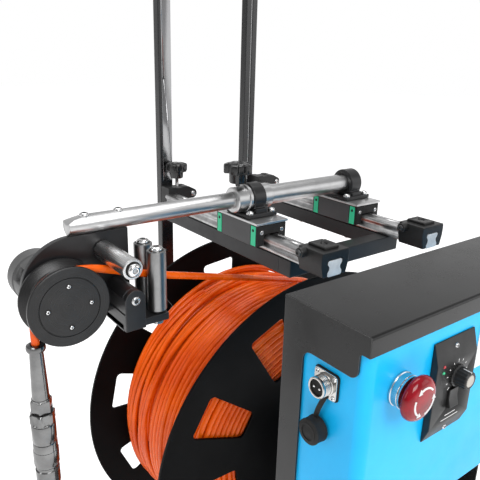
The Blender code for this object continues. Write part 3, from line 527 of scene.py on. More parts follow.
def add_camera():
    azimuth, tilt, roll = (math.radians(a) for a in CAMERA_ANGLES)
    forward = Vector((math.sin(azimuth) * math.cos(tilt), math.cos(azimuth) * math.cos(tilt),
                      -math.sin(tilt)))
    level = forward.cross(Vector((0, 0, 1))).normalized()
    up = level.cross(forward)
    right = level * math.cos(roll) + up * math.sin(roll)
    up = right.cross(forward)
    data = bpy.data.cameras.new("camera")
    data.lens = CAMERA_LENS
    data.sensor_width = 36.0
    data.clip_start = 0.02
    camera = bpy.data.objects.new("camera", data)
    axes = Matrix((right, up, -forward)).transposed().to_4x4()
    camera.matrix_world = Matrix.Translation(CAMERA_AT) @ axes
    bpy.context.scene.collection.objects.link(camera)
    bpy.context.scene.camera = camera


def add_stage():
    """Plain pale studio floor with a little light of its own, so that it stays even far from the lamps."""
    nodes, links, shader = start_material("studio_floor")
    shade = noise(nodes, links, object_vector(nodes, links), 3.0, 3.0)
    links.new(mix_color(nodes, links, shade, (0.80, 0.80, 0.80), (0.84, 0.84, 0.84)),
              shader.inputs["Base Color"])
    shader.inputs["Roughness"].default_value = 0.8
    shader.inputs["Specular IOR Level"].default_value = 0.05
    shader.inputs["Emission Color"].default_value = (1, 1, 1, 1)
    shader.inputs["Emission Strength"].default_value = 0.58
    bm = bmesh.new()
    bmesh.ops.create_circle(bm, cap_ends=True, segments=64, radius=14.0)
    finish_mesh(bm, "studio_floor", "studio_floor")


def add_light(name, location, target, size, energy, color=(1, 1, 1)):
    data = bpy.data.lights.new(name, "AREA")
    data.shape = "RECTANGLE"
    data.size, data.size_y = size
    data.energy = energy
    data.color = color
    light = bpy.data.objects.new(name, data)
    light.location = location
    light.rotation_euler = (Vector(target) - Vector(location)).to_track_quat("-Z", "Y").to_euler()
    bpy.context.scene.collection.objects.link(light)


def add_lights():
    """A white backdrop, a greyer room overhead and behind the camera, and soft boxes for the highlights."""
    world = bpy.data.worlds.new("studio")
    world.use_nodes = True
    nodes, links = world.node_tree.nodes, world.node_tree.links
    tex = nodes.new("ShaderNodeTexCoord")
    split = nodes.new("ShaderNodeSeparateXYZ")
    links.new(tex.outputs["Generated"], split.inputs[0])
    overhead = remap(nodes, links, split.outputs["Z"], 0.15, 0.60, 0, 1)
    behind = remap(nodes, links, split.outputs["Y"], 0.25, -0.35, 0, 1)
    sides = mix_color(nodes, links, behind, (1.0, 1.0, 1.0), (0.55, 0.55, 0.555))
    left = remap(nodes, links, split.outputs["X"], -0.20, -0.75, 0, 1)
    walls = mix_color(nodes, links, left, sides, (0.30, 0.30, 0.305))
    links.new(mix_color(nodes, links, overhead, walls, (0.50, 0.50, 0.505)),
              nodes["Background"].inputs["Color"])
    nodes["Background"].inputs["Strength"].default_value = 1.0
    bpy.context.scene.world = world
    add_light("key", (-0.4, -2.2, 2.3), (0, 0, 0.5), (1.4, 1.4), 50)
    add_light("top", (0.2, 0.4, 2.6), (0, 0, 0.5), (2.0, 0.8), 24)
    add_light("side", (-2.3, 0.2, 1.5), (0, 0, 0.5), (0.5, 1.4), 6)
    add_light("fill", (1.9, -1.9, 1.3), (0, 0, 0.4), (1.5, 1.5), 8)
    bpy.context.scene.view_settings.view_transform = "Standard"


# ---------------------------------------------------------------- cable

def tangent_points():
    """Ends of the straight run from the arc over the pulley to the top of the winding, and its angle."""
    start = Vector((PULLEY.x, PULLEY.z + WRAP_R - LEAVE_R))
    end = Vector((DRUM.x, DRUM.z))
    drum_r = PACK_R + CABLE_R + GAP
    line = end - start
    angle = math.atan2(line.y, line.x) + math.asin((drum_r - LEAVE_R) / line.length)
    normal = Vector((-math.sin(angle), math.cos(angle)))
    return start + LEAVE_R * normal, end + drum_r * normal, angle


def span_point(x):
    """A point of the cable between the pulley and the drum, by its X.

    It runs against the pulley's front flange, slants to the gap between the guide rollers, bends there
    and goes straight to the winding.
    """
    top, drum_end, angle = tangent_points()
    t = max(0.0, min(1.0, (x - PULLEY.x) / (GUIDE_X - PULLEY.x)))
    start, end = CABLE_BEND_X
    slope = (CABLE_DRUM_Y - CABLE_Y) / (drum_end.x - (start + end) / 2)
    past = max(0.0, x - start)
    sideways = slope * (past * past / (2 * (end - start)) if x < end else x - (start + end) / 2)
    y = CABLE_WRAP_Y + (CABLE_Y - CABLE_WRAP_Y) * t + sideways
    return Vector((x, y, top.y + math.tan(angle) * (x - top.x)))


def make_cords():
    top, drum_end, angle = tangent_points()
    # From the join between arm and drum, over the pulley, down through the fitting's sleeve
    lead = [span_point(CABLE_JOIN_X + (top.x - CABLE_JOIN_X) * i / 40) for i in range(40)]
    outline = arc(PULLEY.x, PULLEY.z + WRAP_R - LEAVE_R, LEAVE_R, 90 + math.degrees(angle), 90, 8)
    outline += arc(PULLEY.x, PULLEY.z, WRAP_R, 90, 180, 16)[1:]
    lead += [Vector((u, span_point(u).y, v)) for u, v in outline]
    for i in range(1, 11):
        lead.append(Vector((PULLEY.x - WRAP_R, CABLE_WRAP_Y, PULLEY.z + (CABLE_END_Z - PULLEY.z) * i / 10)))
    # From the winding to the join, starting a little inside the pack so that no end shows
    run = []
    for i in range(8):
        turn = 90 + math.degrees(angle) - 26 * (1 - i / 8)
        sunk = PACK_R + CABLE_R + GAP - 0.009 * (1 - i / 8) ** 2
        x, z = arc(DRUM.x, DRUM.z, sunk, turn, turn, 1)[0]
        run.append(Vector((x, CABLE_DRUM_Y + 0.010 * (1 - i / 8), z)))
    run += [span_point(drum_end.x + (CABLE_JOIN_X - drum_end.x) * i / 18) for i in range(19)]
    lead_piece = sweep("cable_over_pulley", lead, CABLE_R, "cable_jacket")
    run_piece = sweep("cable_from_drum", run, CABLE_R, "cable_jacket")
    for piece, node in ((lead_piece, "cable_lead"), (run_piece, "cable_run")):
        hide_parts(node)
    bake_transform(run_piece)
    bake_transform(lead_piece)
    head = make_cable_head()


def make_cable_head():
    """The fitting on the cable's end: thimble, tapered sleeve, hexagons and a plug body with a ring nut."""
    centre = (PULLEY.x - WRAP_R, CABLE_WRAP_Y)
    bottom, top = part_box("cable_sleeve")
    low, high = bottom.z, top.z
    bore = CABLE_R + 0.0002
    taper = [(6.4 + 1.9 * i / 8, 7.5 + 50 * i / 8) for i in range(9)]
    thimble = [(bore, high), *at(high, -1, (6.2, 0), (8.6, 1.2), (9.1, 3), (9.1, 5), (8.4, 6.6), (6.4, 7),
                                 *taper),
               *at(low, 1, (8.8, 15.2), (8.8, 14), (10, 13.6, 6), (10.4, 12.6, 6), (10.4, 1.2, 6),
                   (9.8, 0, 6)),
               (bore, low)]
    sleeve = mount(turned("cable_sleeve_shell", "Z", centre, thimble, "sleeve_steel", 48, 28),
                   "arm", "bright_steel", "cable_sleeve")
    bottom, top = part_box("cable_connector")
    low, high = bottom.z, top.z
    body = at(high, -1, (0, 0), (10.8, 0), (12.4, 1.2, 6), (12.4, 9.8, 6), (11.6, 11), (11.2, 12.2),
              (11.7, 13.2), (11.7, 32), (11.2, 33), (11.7, 34), (11.7, 60), (10.6, 61.5), (10.6, 64),
              (11.7, 65))
    body += at(low, 1, (11.7, 7.5), (11, 6.2), (9.6, 6), (9.6, 1.2), (8.6, 0), (6, 0), (5.5, 4), (0, 4))
    plug = mount(turned("cable_plug_shell", "Z", centre, body, "sleeve_steel", 48, 28),
                 "arm", "bright_steel", "cable_connector")
    ring = turned("cable_plug_ring", "Z", centre, rounded(0.0100, 0.0121, high - 0.0590, high - 0.0420,
                                                          0.0005),
                  "sleeve_steel", 60, 30, (30, 0.012))
    seal = turned("cable_plug_seal", "Z", centre, rounded(0.0090, 0.0112, low + 0.0022, low + 0.0042,
                                                          0.0009),
                  "rubber_black", 40)
    return [sleeve, plug, mount(ring, "arm", "bright_steel"), mount(seal, "arm", "rubber")]


# ---------------------------------------------------------------- drum

def ring_tube(bm, radius_at, y_at, turns, start_deg=0.0, steps=110, sides=10, radius=CABLE_R - 0.0002):
    """Adds cable wound about the drum's axis. radius_at and y_at take the turn count so far."""
    count = int(turns * steps)
    rings = []
    for i in range(count + 1):
        t = i / steps
        a = math.radians(start_deg) + 2 * math.pi * t
        r, y = radius_at(t), y_at(t)
        ring = []
        for k in range(sides):
            b = 2 * math.pi * k / sides
            rr = r + radius * math.cos(b)
            ring.append(bm.verts.new((DRUM.x + rr * math.cos(a), y + radius * math.sin(b),
                                      DRUM.z + rr * math.sin(a))))
        rings.append(ring)
    for a, b in zip(rings, rings[1:]):
        for k in range(sides):
            j = (k + 1) % sides
            bm.faces.new((a[k], a[j], b[j], b[k]))
    bm.faces.new(rings[0])
    bm.faces.new(rings[-1])


def wobble(t, seed):
    """A repeatable unevenness between -1 and 1."""
    waves = ((5.1, 1), (12.7, 2.3), (2.17, 4.1))
    return sum(math.sin(t * rate + seed * shift) for rate, shift in waves) / 3


def make_winding():
    """The wound cable: an outer layer of turns, a half-laid layer over it, and the pack's two end faces."""
    low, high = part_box("cable_winding")
    y0, y1 = low.y + CABLE_R, high.y - CABLE_R
    pitch = 0.00815
    turns = (y1 - y0) / pitch
    step_y = CABLE_DRUM_Y + 0.012

    def y_outer(t):
        return y0 + min(t, turns) * pitch + 0.0008 * wobble(t * 1.7, 0.4)

    def r_outer(t):
        over = 1 / (1 + math.exp((y_outer(t) - step_y) / 0.0016))
        return PACK_R - 0.0112 + 0.0072 * over + 0.0006 * wobble(t * 2.3, 2.0)

    def crossing(start_deg, y_from, y_to, length, lift):
        """A turn that slants over the others and dips back among them at both ends."""
        def radius_at(t):
            return PACK_R - lift - 0.0056 + 0.0056 * math.sin(math.pi * min(1.0, t / length)) ** 0.6

        def y_at(t):
            u = min(1.0, t / length)
            return y_from + (y_to - y_from) * u * u * (3 - 2 * u)

        ring_tube(bm, radius_at, y_at, length, start_deg, 90)

    bm = bmesh.new()
    ring_tube(bm, r_outer, y_outer, turns, 40)
    # the layer that the upper one lies on, seen in the step and between turns
    ring_tube(bm, lambda t: PACK_R - 0.0118, lambda t: min(y0 + 0.004 + t * pitch, y1), turns * 0.98, 130)
    # turns laid on the second layer, behind the step, and slanting across the rest
    loose = ((75, 0.084, 0.106), (100, 0.092, 0.131), (95, 0.104, 0.096), (60, 0.122, 0.110),
             (90, 0.118, 0.139), (110, 0.146, 0.124), (70, 0.152, 0.143), (120, 0.136, 0.152),
             (10, 0.090, 0.100), (20, 0.154, 0.148))
    for k, (deg, y_from, y_to) in enumerate(loose):
        crossing(deg, y_from, y_to, 0.40 + 0.04 * (k % 3), 0.0010 + 0.0011 * (k % 3))
    for deg, y_from, y_to, length in ((60, 0.003, 0.026, 0.42), (95, 0.060, 0.042, 0.46)):
        crossing(deg, y_from, y_to, length, 0.0008)
    # end faces: the stacked layers against each flange
    layers = int((PACK_R - 0.124) / 0.0080)
    for side, y in enumerate((y0, y1)):
        for k in range(layers):
            r = 0.1245 + 0.0080 * k
            if side and r > PACK_R - 0.013:
                continue
            ring_tube(bm, lambda t, r=r, k=k: r + 0.0005 * wobble(t * 9, k), lambda t, y=y: y, 1.0,
                      20 + 37 * k, 80)
    winding = finish_mesh(bm, "cable_winding_turns", "cable_jacket", 70)
    mount(winding, "drum", "orange_jacket", "cable_winding")
    core = turned("cable_winding_core", "Y", DRUM_XZ,
                  [(0.1205, y0), (PACK_R - 0.014, y0), (PACK_R - 0.014, y1), (0.1205, y1)],
                  "cable_jacket", 96)
    mount(core, "drum", "orange_jacket")


def window_outline(centre_deg):
    """One flange window: an annular slot with round corners."""
    inner, outer, half, corner = 0.126, 0.207, 7.75, 0.006
    outline = []
    for radius, side, radial in ((outer, 1, 1), (outer, -1, 1), (inner, -1, -1), (inner, 1, -1)):
        middle = radius - radial * corner
        a = math.radians(centre_deg + side * (half - math.degrees(corner / middle)))
        turn = math.degrees(a)
        first, last = {(1, 1): (90, 0), (-1, 1): (0, -90),
                       (-1, -1): (-90, -180), (1, -1): (180, 90)}[(side, radial)]
        outline += arc(DRUM.x + middle * math.cos(a), DRUM.z + middle * math.sin(a), corner,
                       turn + first, turn + last, 5)
    return outline


def make_flange(name, node, outward, phase):
    """A steel disc with ten windows, broken edges and a bolted boss."""
    low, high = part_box(node)
    y = (high.y - FLANGE_T, high.y) if outward < 0 else (low.y, low.y + FLANGE_T)
    reach = (y[0] - 0.003, y[1] + 0.003)
    disc = prism(name, circle(DRUM_XZ, FLANGE_R, 216), "Y", y, "flange_black", bevel=0)
    tools = [prism("window_tool", window_outline(phase + 360 / WINDOWS * i), "Y", reach, "flange_black",
                   bevel=0) for i in range(WINDOWS)]
    tools.append(rod("bore_tool", "Y", DRUM_XZ, 0.014, (y[0] - 0.01, y[1] + 0.01), "flange_black", 48))
    cut(disc, *tools)
    bm = bmesh.new()
    bm.from_mesh(disc.data)
    bpy.data.objects.remove(disc)
    bmesh.ops.remove_doubles(bm, verts=bm.verts, dist=1e-6)
    bmesh.ops.dissolve_limit(bm, angle_limit=math.radians(1), verts=bm.verts, edges=bm.edges)
    bevel_sharp(bm, 0.0007, 2, 60)
    mount(finish_mesh(bm, name, "flange_black", 40, weighted=True), "drum", "black_paint", node)
    face, end = (y[0], low.y) if outward < 0 else (y[1], high.y)
    boss = rounded(0.0129, 0.030, *sorted((face, end)), 0.001)
    mount(turned(name + "_boss", "Y", DRUM_XZ, boss, "dark_steel", 64), "drum", "black_paint")
    bolts(name + "_bolt", "Y", circle(DRUM_XZ, 0.042, 6), face - outward * 0.0002, outward, 0.005, 0.0032,
          "screw_steel", "drum")


def make_drum():
    """The winding between its two flanges."""
    make_winding()
    make_flange("drum_disc_front", "drum_flange_front", -1, 6.3)
    make_flange("drum_disc_rear", "drum_flange_rear", 1, 24.4)


def make_running_gear():
    """Bearing housings and slip ring."""
    for node, sign in (("front_bearing", 1), ("rear_bearing", -1)):
        low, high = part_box(node)
        base, face = (low.y, high.y) if sign > 0 else (high.y, low.y)
        profile = at(base, sign, (12.7, 0), (29, 0), (29, 4), (24, 6))
        profile += at(face, -sign, (22.5, 1), (19.5, 0.6), (19, 2), (16, 2), (15.7, 0), (12.7, 0))
        mount(turned(node + "_housing", "Y", DRUM_XZ, profile, "cast_alloy", 48), "frame", "steel_grey",
              node)
        bolts(node + "_bolt", "Y", circle(DRUM_XZ, 0.0262, 4, 45), base + sign * 0.0040, sign, 0.0022,
              0.0018, "screw_steel", "frame")
    low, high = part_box("slip_ring")
    profile = at(low.y, 1, (0, 12), (13.7, 12), (13.7, 0), (25.2, 0), (26, 0.8), (26, 10), (24.5, 11.5))
    profile += at(high.y, -1, (24.5, 10), (23.5, 8), (18, 2), (16.5, 0.5), (0, 0.5))
    mount(turned("slip_ring_body", "Y", DRUM_XZ, profile, "moulded_black", 48), "frame", "black_plastic",
          "slip_ring")


def carry_over():
    """CAD nodes that stay as they are get their procedural finish."""
    finishes = {
        "flange_black": ("drum_hub",), "gloss_black": ("base_frame",), "blue_paint": ("box_rear_cover",),
        "screw_steel": ("drum_shaft", "pulley_axle", "upper_roller_axle"),
        "rubber_black": ("drive_belt", "handle_grip", "foot_left", "foot_right"),
        "cast_alloy": ("gear_motor", "drum_belt_pulley", "motor_belt_pulley"),
    }
    for finish, nodes in finishes.items():
        for node in nodes:
            NODES[node].data.materials.clear()
            NODES[node].data.materials.append(MATS[finish])


# ---------------------------------------------------------------- frame

def make_uprights():
    """Two tall tubes, the handle between them and the beam that holds the drum shaft's rear bearing."""
    low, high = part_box("upright_frame")
    y = (low.y, high.y)
    side, paint = TUBE, "gloss_black"
    spans = {"left": (low.x, low.x + side), "right": (high.x - side, high.x)}
    for name, x in spans.items():
        tube = block(f"upright_{name}", x, (y[0] + 0.0006, y[1]), (low.z, high.z), paint, 0.0014, 3)
        mount(tube, "frame", "black_paint", "upright_frame")
    # the left tube's front is a polished strip with a clamp hole; the right one's has a groove, and the
    # thin bright steel strip along it is a painted highlight line
    x = spans["left"]
    strip = block("upright_strip", (x[0] + 0.0040, x[1] - 0.0006), (y[0] + 0.0001, y[0] + 0.0020),
                  (0.625, high.z - 0.0006), "dark_mirror", 0.0003)
    cut(strip, rod("upright_tool", "Y", (x[0] + 0.0068, 0.771), 0.0020, (y[0] - 0.01, y[0] + 0.01), paint,
                   24))
    mount(strip, "frame", "black_paint")
    x = spans["right"]
    # The edge strip is a painted highlight: bright steel standing for the light line along the groove.
    for name, near, far, mat in (("inner", 0.0004, 0.0086, paint), ("edge", 0.0086, 0.0094, "screw_steel"),
                                 ("outer", 0.0112, side - 0.0004, paint)):
        strip = block(f"upright_lip_{name}", (x[0] + near, x[0] + far), (y[0] + 0.00005, y[0] + 0.0016),
                      (low.z + 0.001, high.z - 0.001), mat, 0.0002)
        mount(strip, "frame", "black_paint")
    top = block("handle_tube", (low.x + side - 0.002, high.x - side + 0.002), y, (high.z - side, high.z),
                paint, 0.0016, 3)
    beam = block("rear_bearing_beam", (low.x + side - 0.001, high.x - side + 0.001),
                 (y[0] + 0.0002, y[1] - 0.0002), (0.273, 0.327), paint, 0.001, 2)
    for piece in (top, beam):
        mount(piece, "frame", "black_paint")


def make_rail_frame():
    """The U of square tube that carries both rails, with its nuts."""
    low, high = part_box("rail_frame")
    side, z = TUBE, (low.z, high.z)
    cross = block("rail_cross_tube", (low.x, high.x), (low.y, low.y + side), z, "powder_black", 0.0014, 3)
    mount(cross, "frame", "black_paint", "rail_frame")
    for name, x in (("left", low.x), ("right", high.x - side)):
        tube = block(f"rail_tube_{name}", (x, x + side), (low.y + side - 0.001, high.y), z, "powder_black",
                     0.0014, 3)
        mount(tube, "frame", "black_paint")
        for k, y in enumerate((0.006, 0.098, 0.176)):
            mount(nut(f"rail_nut_{name}_{k}", "Z", (x + side / 2, y), (low.z - 0.0032, low.z), 0.0042,
                      "screw_steel"), "frame", "bright_steel")
    for name, x in RAILS:
        make_rail(name, x)
        make_rail_stop(name, x)


def rail_outline(x, base):
    """Cross-section of a profile rail, with a ball groove in each flank."""
    return mirrored(x, at(base, 1, (8.8, 0), (10, 1.4), (10, 4.2), (8.9, 6), (7.9, 7.5), (7.7, 9),
                          (7.9, 10.5), (8.9, 12), (10, 13.5), (10, 16), (8.6, 17.4)))


def make_rail(name, x):
    """A profile rail with counterbored screws and a cut end."""
    low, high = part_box(f"rail_{name}")
    outline = rail_outline(x, low.z)
    holes = [(x, low.y + 0.045 + 0.060 * k) for k in range(5)]
    rail = prism(f"rail_bar_{name}", outline, "Y", (low.y, high.y), "rail_steel", bevel=0)
    cut(rail, *(rod("rail_tool", "Z", hole, 0.0047, (high.z - 0.0085, high.z + 0.01), "dark_steel", 24)
                for hole in holes))
    mount(rail, "frame", "bright_steel", f"rail_{name}")
    end = prism(f"rail_end_{name}", outline, "Y", (low.y - 0.0003, low.y + 0.0004), "cut_steel", bevel=0)
    mount(end, "frame", "bright_steel")
    bolts(f"rail_screw_{name}", "Z", holes, high.z - 0.0084, 1, 0.0043, 0.0050, "dark_steel", "frame",
          "steel_grey")


def make_rail_stop(name, x):
    """Moulded end stop with a raised top pad, a hole in it and a clamp screw on its -X side."""
    low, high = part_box(f"rail_stop_{name}")
    y, top = low.y, high.z
    half = at(low.z, 1, (10.5, 17.8), (10.5, 14), (8.3, 11), (8.3, 7), (10.5, 4), (10.5, 0), (16.5, 0),
              (19.5, 12))
    half += at(top, -1, (20, 8), (19, 3))
    stop = prism(f"stop_body_{name}", mirrored(x, half), "Y", (y, high.y), "moulded_black", 0.0007, 2)
    mount(stop, "frame", "black_plastic", f"rail_stop_{name}")
    pad = block(f"stop_pad_{name}", (x - 0.010, x + 0.010), (y + 0.006, high.y - 0.004),
                (top - 0.0035, top), "moulded_black", 0.0008)
    hole, floor = (x, y + 0.018), top - 0.0030
    cut(pad, rod("stop_tool", "Z", hole, 0.0042, (floor, top + 0.01), "dark_steel", 24))
    mount(pad, "frame", "black_plastic")
    mount(screw(f"stop_screw_{name}", "Z", hole, floor - 0.0001, 1, 0.0034, 0.0018, "screw_steel", 0.6),
          "frame", "steel_grey")
    side = (y + 0.0265, 0.614)
    boss = rounded(0, 0.0055, low.x + 0.002, x - 0.0185, 0.001)
    mount(turned(f"stop_boss_{name}", "X", side, boss, "moulded_black", 32), "frame", "black_plastic")
    mount(screw(f"stop_side_screw_{name}", "X", side, low.x + 0.0021, -1, 0.0036, 0.0020, "dark_steel"),
          "frame", "steel_grey")


def make_clamp_block(name, x):
    """Clamp bar in front of an upright: a squared end, a round lug with a cross bolt, and its screws."""
    low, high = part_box(f"clamp_block_{name}")
    z0, z1 = low.z, high.z
    lug_x, lug_z, lug_r = x + 0.0376, 0.6060, 0.0070
    outline = [(low.x, z0), (x + 0.0250, z0), (x + 0.0300, lug_z - lug_r)]
    outline += arc(lug_x, lug_z, lug_r, -90, 70, 14)
    outline += [(x + 0.0310, z1 - 0.0008), (x + 0.0240, z1), (x + 0.0215, z1), (x + 0.0205, z1 - 0.0012)]
    outline += [(x + 0.0100, z1 - 0.0012), (x + 0.0090, z1), (low.x, z1)]
    body = prism(f"clamp_body_{name}", outline, "Y", (low.y, high.y), "moulded_black", 0.0014, 3)
    slit = block("slit_tool", (x + 0.020, x + 0.060), (low.y + 0.0095, low.y + 0.0112),
                 (z0 - 0.01, z1 + 0.01), "moulded_black", 0.0001)
    cut(body, slit)
    mount(body, "frame", "black_plastic", f"clamp_block_{name}")
    for k, (u, v, r) in enumerate(((lug_x, lug_z, 0.0040), (low.x + 0.0066, 0.6045, 0.0042),
                                   (low.x + 0.0200, 0.6000, 0.0020))):
        mount(screw(f"clamp_screw_{name}_{k}", "Y", (u, v), low.y + 0.0002, -1, r, r * 0.55, "screw_steel"),
              "frame", "bright_steel")
    mount(nut(f"clamp_nut_{name}", "Y", (lug_x, lug_z), (high.y - 0.0002, high.y + 0.0036), 0.0048,
              "screw_steel"), "frame", "bright_steel")


def make_star_knob(node, head_r, hub_r, stem_r, heights):
    """Five-lobed hand knob: a crowned head with deep notches, a hub below it and a threaded stem."""
    x, y = JOINTS[node + "_turn"]["pos_m"][:2]
    foot, hub_z, head_z, top = heights

    def lobed(scale):
        outline = []
        for i in range(140):
            a = 2 * math.pi * i / 140
            r = head_r * (0.72 + 0.28 * max(0.0, min(1.0, 0.62 + 1.5 * math.cos(5 * a))))
            outline.append((x + scale * r * math.cos(a), y + scale * r * math.sin(a)))
        return outline

    bm = bmesh.new()
    crown = (top - head_z) * 0.20
    rings = []
    for scale, z in ((0.93, head_z), (0.985, head_z + 0.0005), (1.0, head_z + 0.0013),
                     (1.0, top - crown - 0.0016), (0.985, top - crown - 0.0006), (0.95, top - crown),
                     (0.70, top - crown * 0.38), (0.36, top)):
        rings.append([bm.verts.new((u, v, z)) for u, v in lobed(scale)])
    for a, b in zip(rings, rings[1:]):
        for i in range(140):
            j = (i + 1) % 140
            bm.faces.new((a[i], a[j], b[j], b[i]))
    bm.faces.new(rings[0])
    bm.faces.new(rings[-1])
    head = finish_mesh(bm, node + "_head", "knob_black", 50)
    mount(head, node, "black_plastic", node)
    profile = [(0, head_z + 0.001), (hub_r, head_z + 0.001), (hub_r * 0.97, hub_z + 0.0016),
               (hub_r * 0.90, hub_z), (0, hub_z)]
    mount(turned(node + "_hub", "Z", (x, y), profile, "knob_black", 40), node, "black_plastic")
    thread = [(0, hub_z + 0.001)]
    count = max(3, int((hub_z - foot) / 0.0011))
    step = (hub_z - foot) / count
    for k in range(count):
        z = hub_z - step * k
        thread += [(stem_r, z), (stem_r * 0.86, z - step * 0.5)]
    thread.append((0, foot))
    mount(turned(node + "_stem", "Z", (x, y), thread, "screw_steel", 24, 20), node, "bright_steel")


# ---------------------------------------------------------------- level wind

def make_carriage(name, x):
    """Ball carriage: steel block, moulded end caps with green strips, wiper seals, and the plate on top."""
    low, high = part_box(f"carriage_{name}")
    y0, y1, z0, z1 = low.y, high.y, low.z, high.z

    def channel(piece, y, inset, lift, mat, slot, *nodes):
        w, foot = 0.022 - inset, z0 + lift
        outline = mirrored(x, [(0.0108, 0.6105), (0.0108, foot), (w, foot), (w, z1 - inset * 0.6)])
        mount(prism(f"carriage_{piece}", outline, "Y", y, mat), "level_wind", slot, *nodes)

    def span(end, inward, near, far):
        return sorted((end + inward * near * MM, end + inward * far * MM))

    channel(f"block_{name}", (y0 + 0.0125, y1 - 0.0125), 0, 0, "block_grey", "steel_grey",
            f"carriage_{name}")
    for k, (end, inward) in enumerate(((y0, 1), (y1, -1))):
        channel(f"cap_{name}_{k}", span(end, inward, 1.5, 12.2), 0.0005, 0, "moulded_black",
                "black_plastic")
        channel(f"seal_{name}_{k}", span(end, inward, 0, 1.6), 0.0012, 0.001, "rubber_black", "rubber")
        strip_y = span(end, inward, 3, 11.5)
        for side in (-1, 1):
            tag = f"{name}_{k}_{'l' if side < 0 else 'r'}"
            face = x + side * 0.0217
            strip = block(f"carriage_strip_{tag}", sorted((face - side * 0.002, face + side * 0.0003)),
                          strip_y, (z0 + 0.0008, z1 - 0.0012), "green_strip", 0.0004)
            mount(strip, "level_wind", "steel_grey")
            plug = rounded(0, 0.0018, *sorted((face, face + side * 0.0006)), 0.0003)
            mount(turned(f"carriage_plug_{tag}", "X", (sum(strip_y) / 2, z1 - 0.0065), plug, "rubber_black",
                         20),
                  "level_wind", "rubber")
            mount(screw(f"carriage_screw_{tag}", "Y", (x + side * 0.0148, z1 - 0.0085),
                        end + inward * 0.0001, -inward, 0.0027, 0.0009, "screw_steel"), "level_wind",
                        "bright_steel")
    low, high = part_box(f"top_plate_{name}")
    plate = block(f"carriage_plate_{name}", *zip(low, high), "bright_plate", 0.0004)
    mount(plate, "level_wind", "aluminium", f"top_plate_{name}")


def make_pillow(name, ring_x, bore):
    """Shaft support: two bolted ears, a pedestal and a split ring."""
    node = f"pillow_block_{name}"
    low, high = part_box(node)
    y, z = ARM_YZ
    ear_top, shelf_top = 0.6300, 0.6335
    foot = block(node + "_ears", (low.x, high.x), (low.y, high.y), (low.z, ear_top), "anodised", 0.0010, 3)
    pedestal = block(node + "_pedestal", (ring_x[0] + 0.0004, ring_x[1] - 0.0004), (y - 0.0195, y + 0.0195),
                     (ear_top - 0.001, shelf_top + 0.0015), "anodised", 0.0010, 3)
    outline = [(y - 0.0158, shelf_top), (y + 0.0158, shelf_top), *arc(y, z, 0.018, -25, 205, 40)]
    ring = prism(node + "_ring", outline, "X", ring_x, "anodised", 0.0009, 2)
    for piece, room in ((foot, 0.0171), (pedestal, bore + 0.0003), (ring, bore + 0.0003)):
        cut(piece, rod("pillow_tool", "X", ARM_YZ, room, (low.x - 0.01, high.x + 0.01), "anodised", 64))
    cut(ring, block("split_tool", (ring_x[0] - 0.01, ring_x[1] + 0.01), (y - 0.03, y + 0.03),
                    (z - 0.0082, z - 0.0078), "anodised", 0.00005, 1))
    mount(foot, "level_wind", "black_anodised", node)
    mount(pedestal, "level_wind", "black_anodised")
    mount(ring, "level_wind", "black_anodised")
    spots = [(x, y + s * 0.0170) for x in (low.x + 0.0052, high.x - 0.0052) for s in (-1, 1)]
    bolts(node + "_bolt", "Z", spots, ear_top - 0.0002, 1, 0.0044, 0.0040, "chrome", "level_wind")


def make_level_wind():
    """Both carriages, the pillow blocks on them and the tube between these."""
    for name, x in RAILS:
        make_carriage(name, x)
    make_pillow("left", (-0.0298, -0.0127), 0.0145)
    make_pillow("right", (0.133, 0.1513), 0.0110)
    profile = at(0, 1, (9.7, -50.6), (13.8, -50.6), (15, -49.4), (15, -35.2), (15.8, -35), (16.5, -34.3),
                 (16.5, -31), (16, -30.4), (14.5, -30.2), (14.5, 0.3), (13.6, 1.3), (11.8, 1.3),
                 (11.8, 121.5), (11, 122.8), (11, 151.6), (10.4, 152.1), (9.7, 152.1))
    tube = turned("arm_outer_tube", "X", ARM_YZ, profile, "arm_steel", 72, 25)
    mount(tube, "level_wind", "bright_steel", "arm_tube")


# ---------------------------------------------------------------- guide head

def make_arm():
    """The bar that turns in the tube and carries the guide head."""
    low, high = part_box("arm_bar")
    y, z = ARM_YZ
    r = (high.z - low.z) / 2
    bar = turned("arm_rod", "X", ARM_YZ, rounded(0, r, low.x, high.x, 0.0012), "arm_steel", 72, 30)
    wedge = [(low.x - 0.012, z + 0.0005), (low.x + 0.022, z + r + 0.0006), (low.x + 0.022, z + 0.03),
             (low.x - 0.012, z + 0.03)]
    cut(bar, prism("arm_tool", wedge, "Y", (y - 0.02, y + 0.02), "arm_steel", bevel=0))
    mount(bar, "arm", "bright_steel", "arm_bar")
    bolts("arm_screw", "Z", [(-0.228, y), (-0.1925, y)], z + r - 0.0012, 1, 0.0050, 0.0030, "chrome", "arm")


def make_head_plate():
    """The plate with a round end that holds pulley and encoder."""
    low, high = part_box("head_plate")
    top, radius = high.z, 0.051
    cx, right, bottom = low.x + radius, high.x, low.z
    cz = top - radius
    end = 180 + math.degrees(math.asin((cz - bottom) / radius))
    outline = [(right, top), *arc(cx, cz, radius, 90, end, 48), (right, bottom)]
    plate = prism("guide_plate", outline, "Y", (low.y, high.y), "anodised", 0.0006, 2)
    mount(plate, "arm", "black_anodised", "head_plate")
    make_encoder()


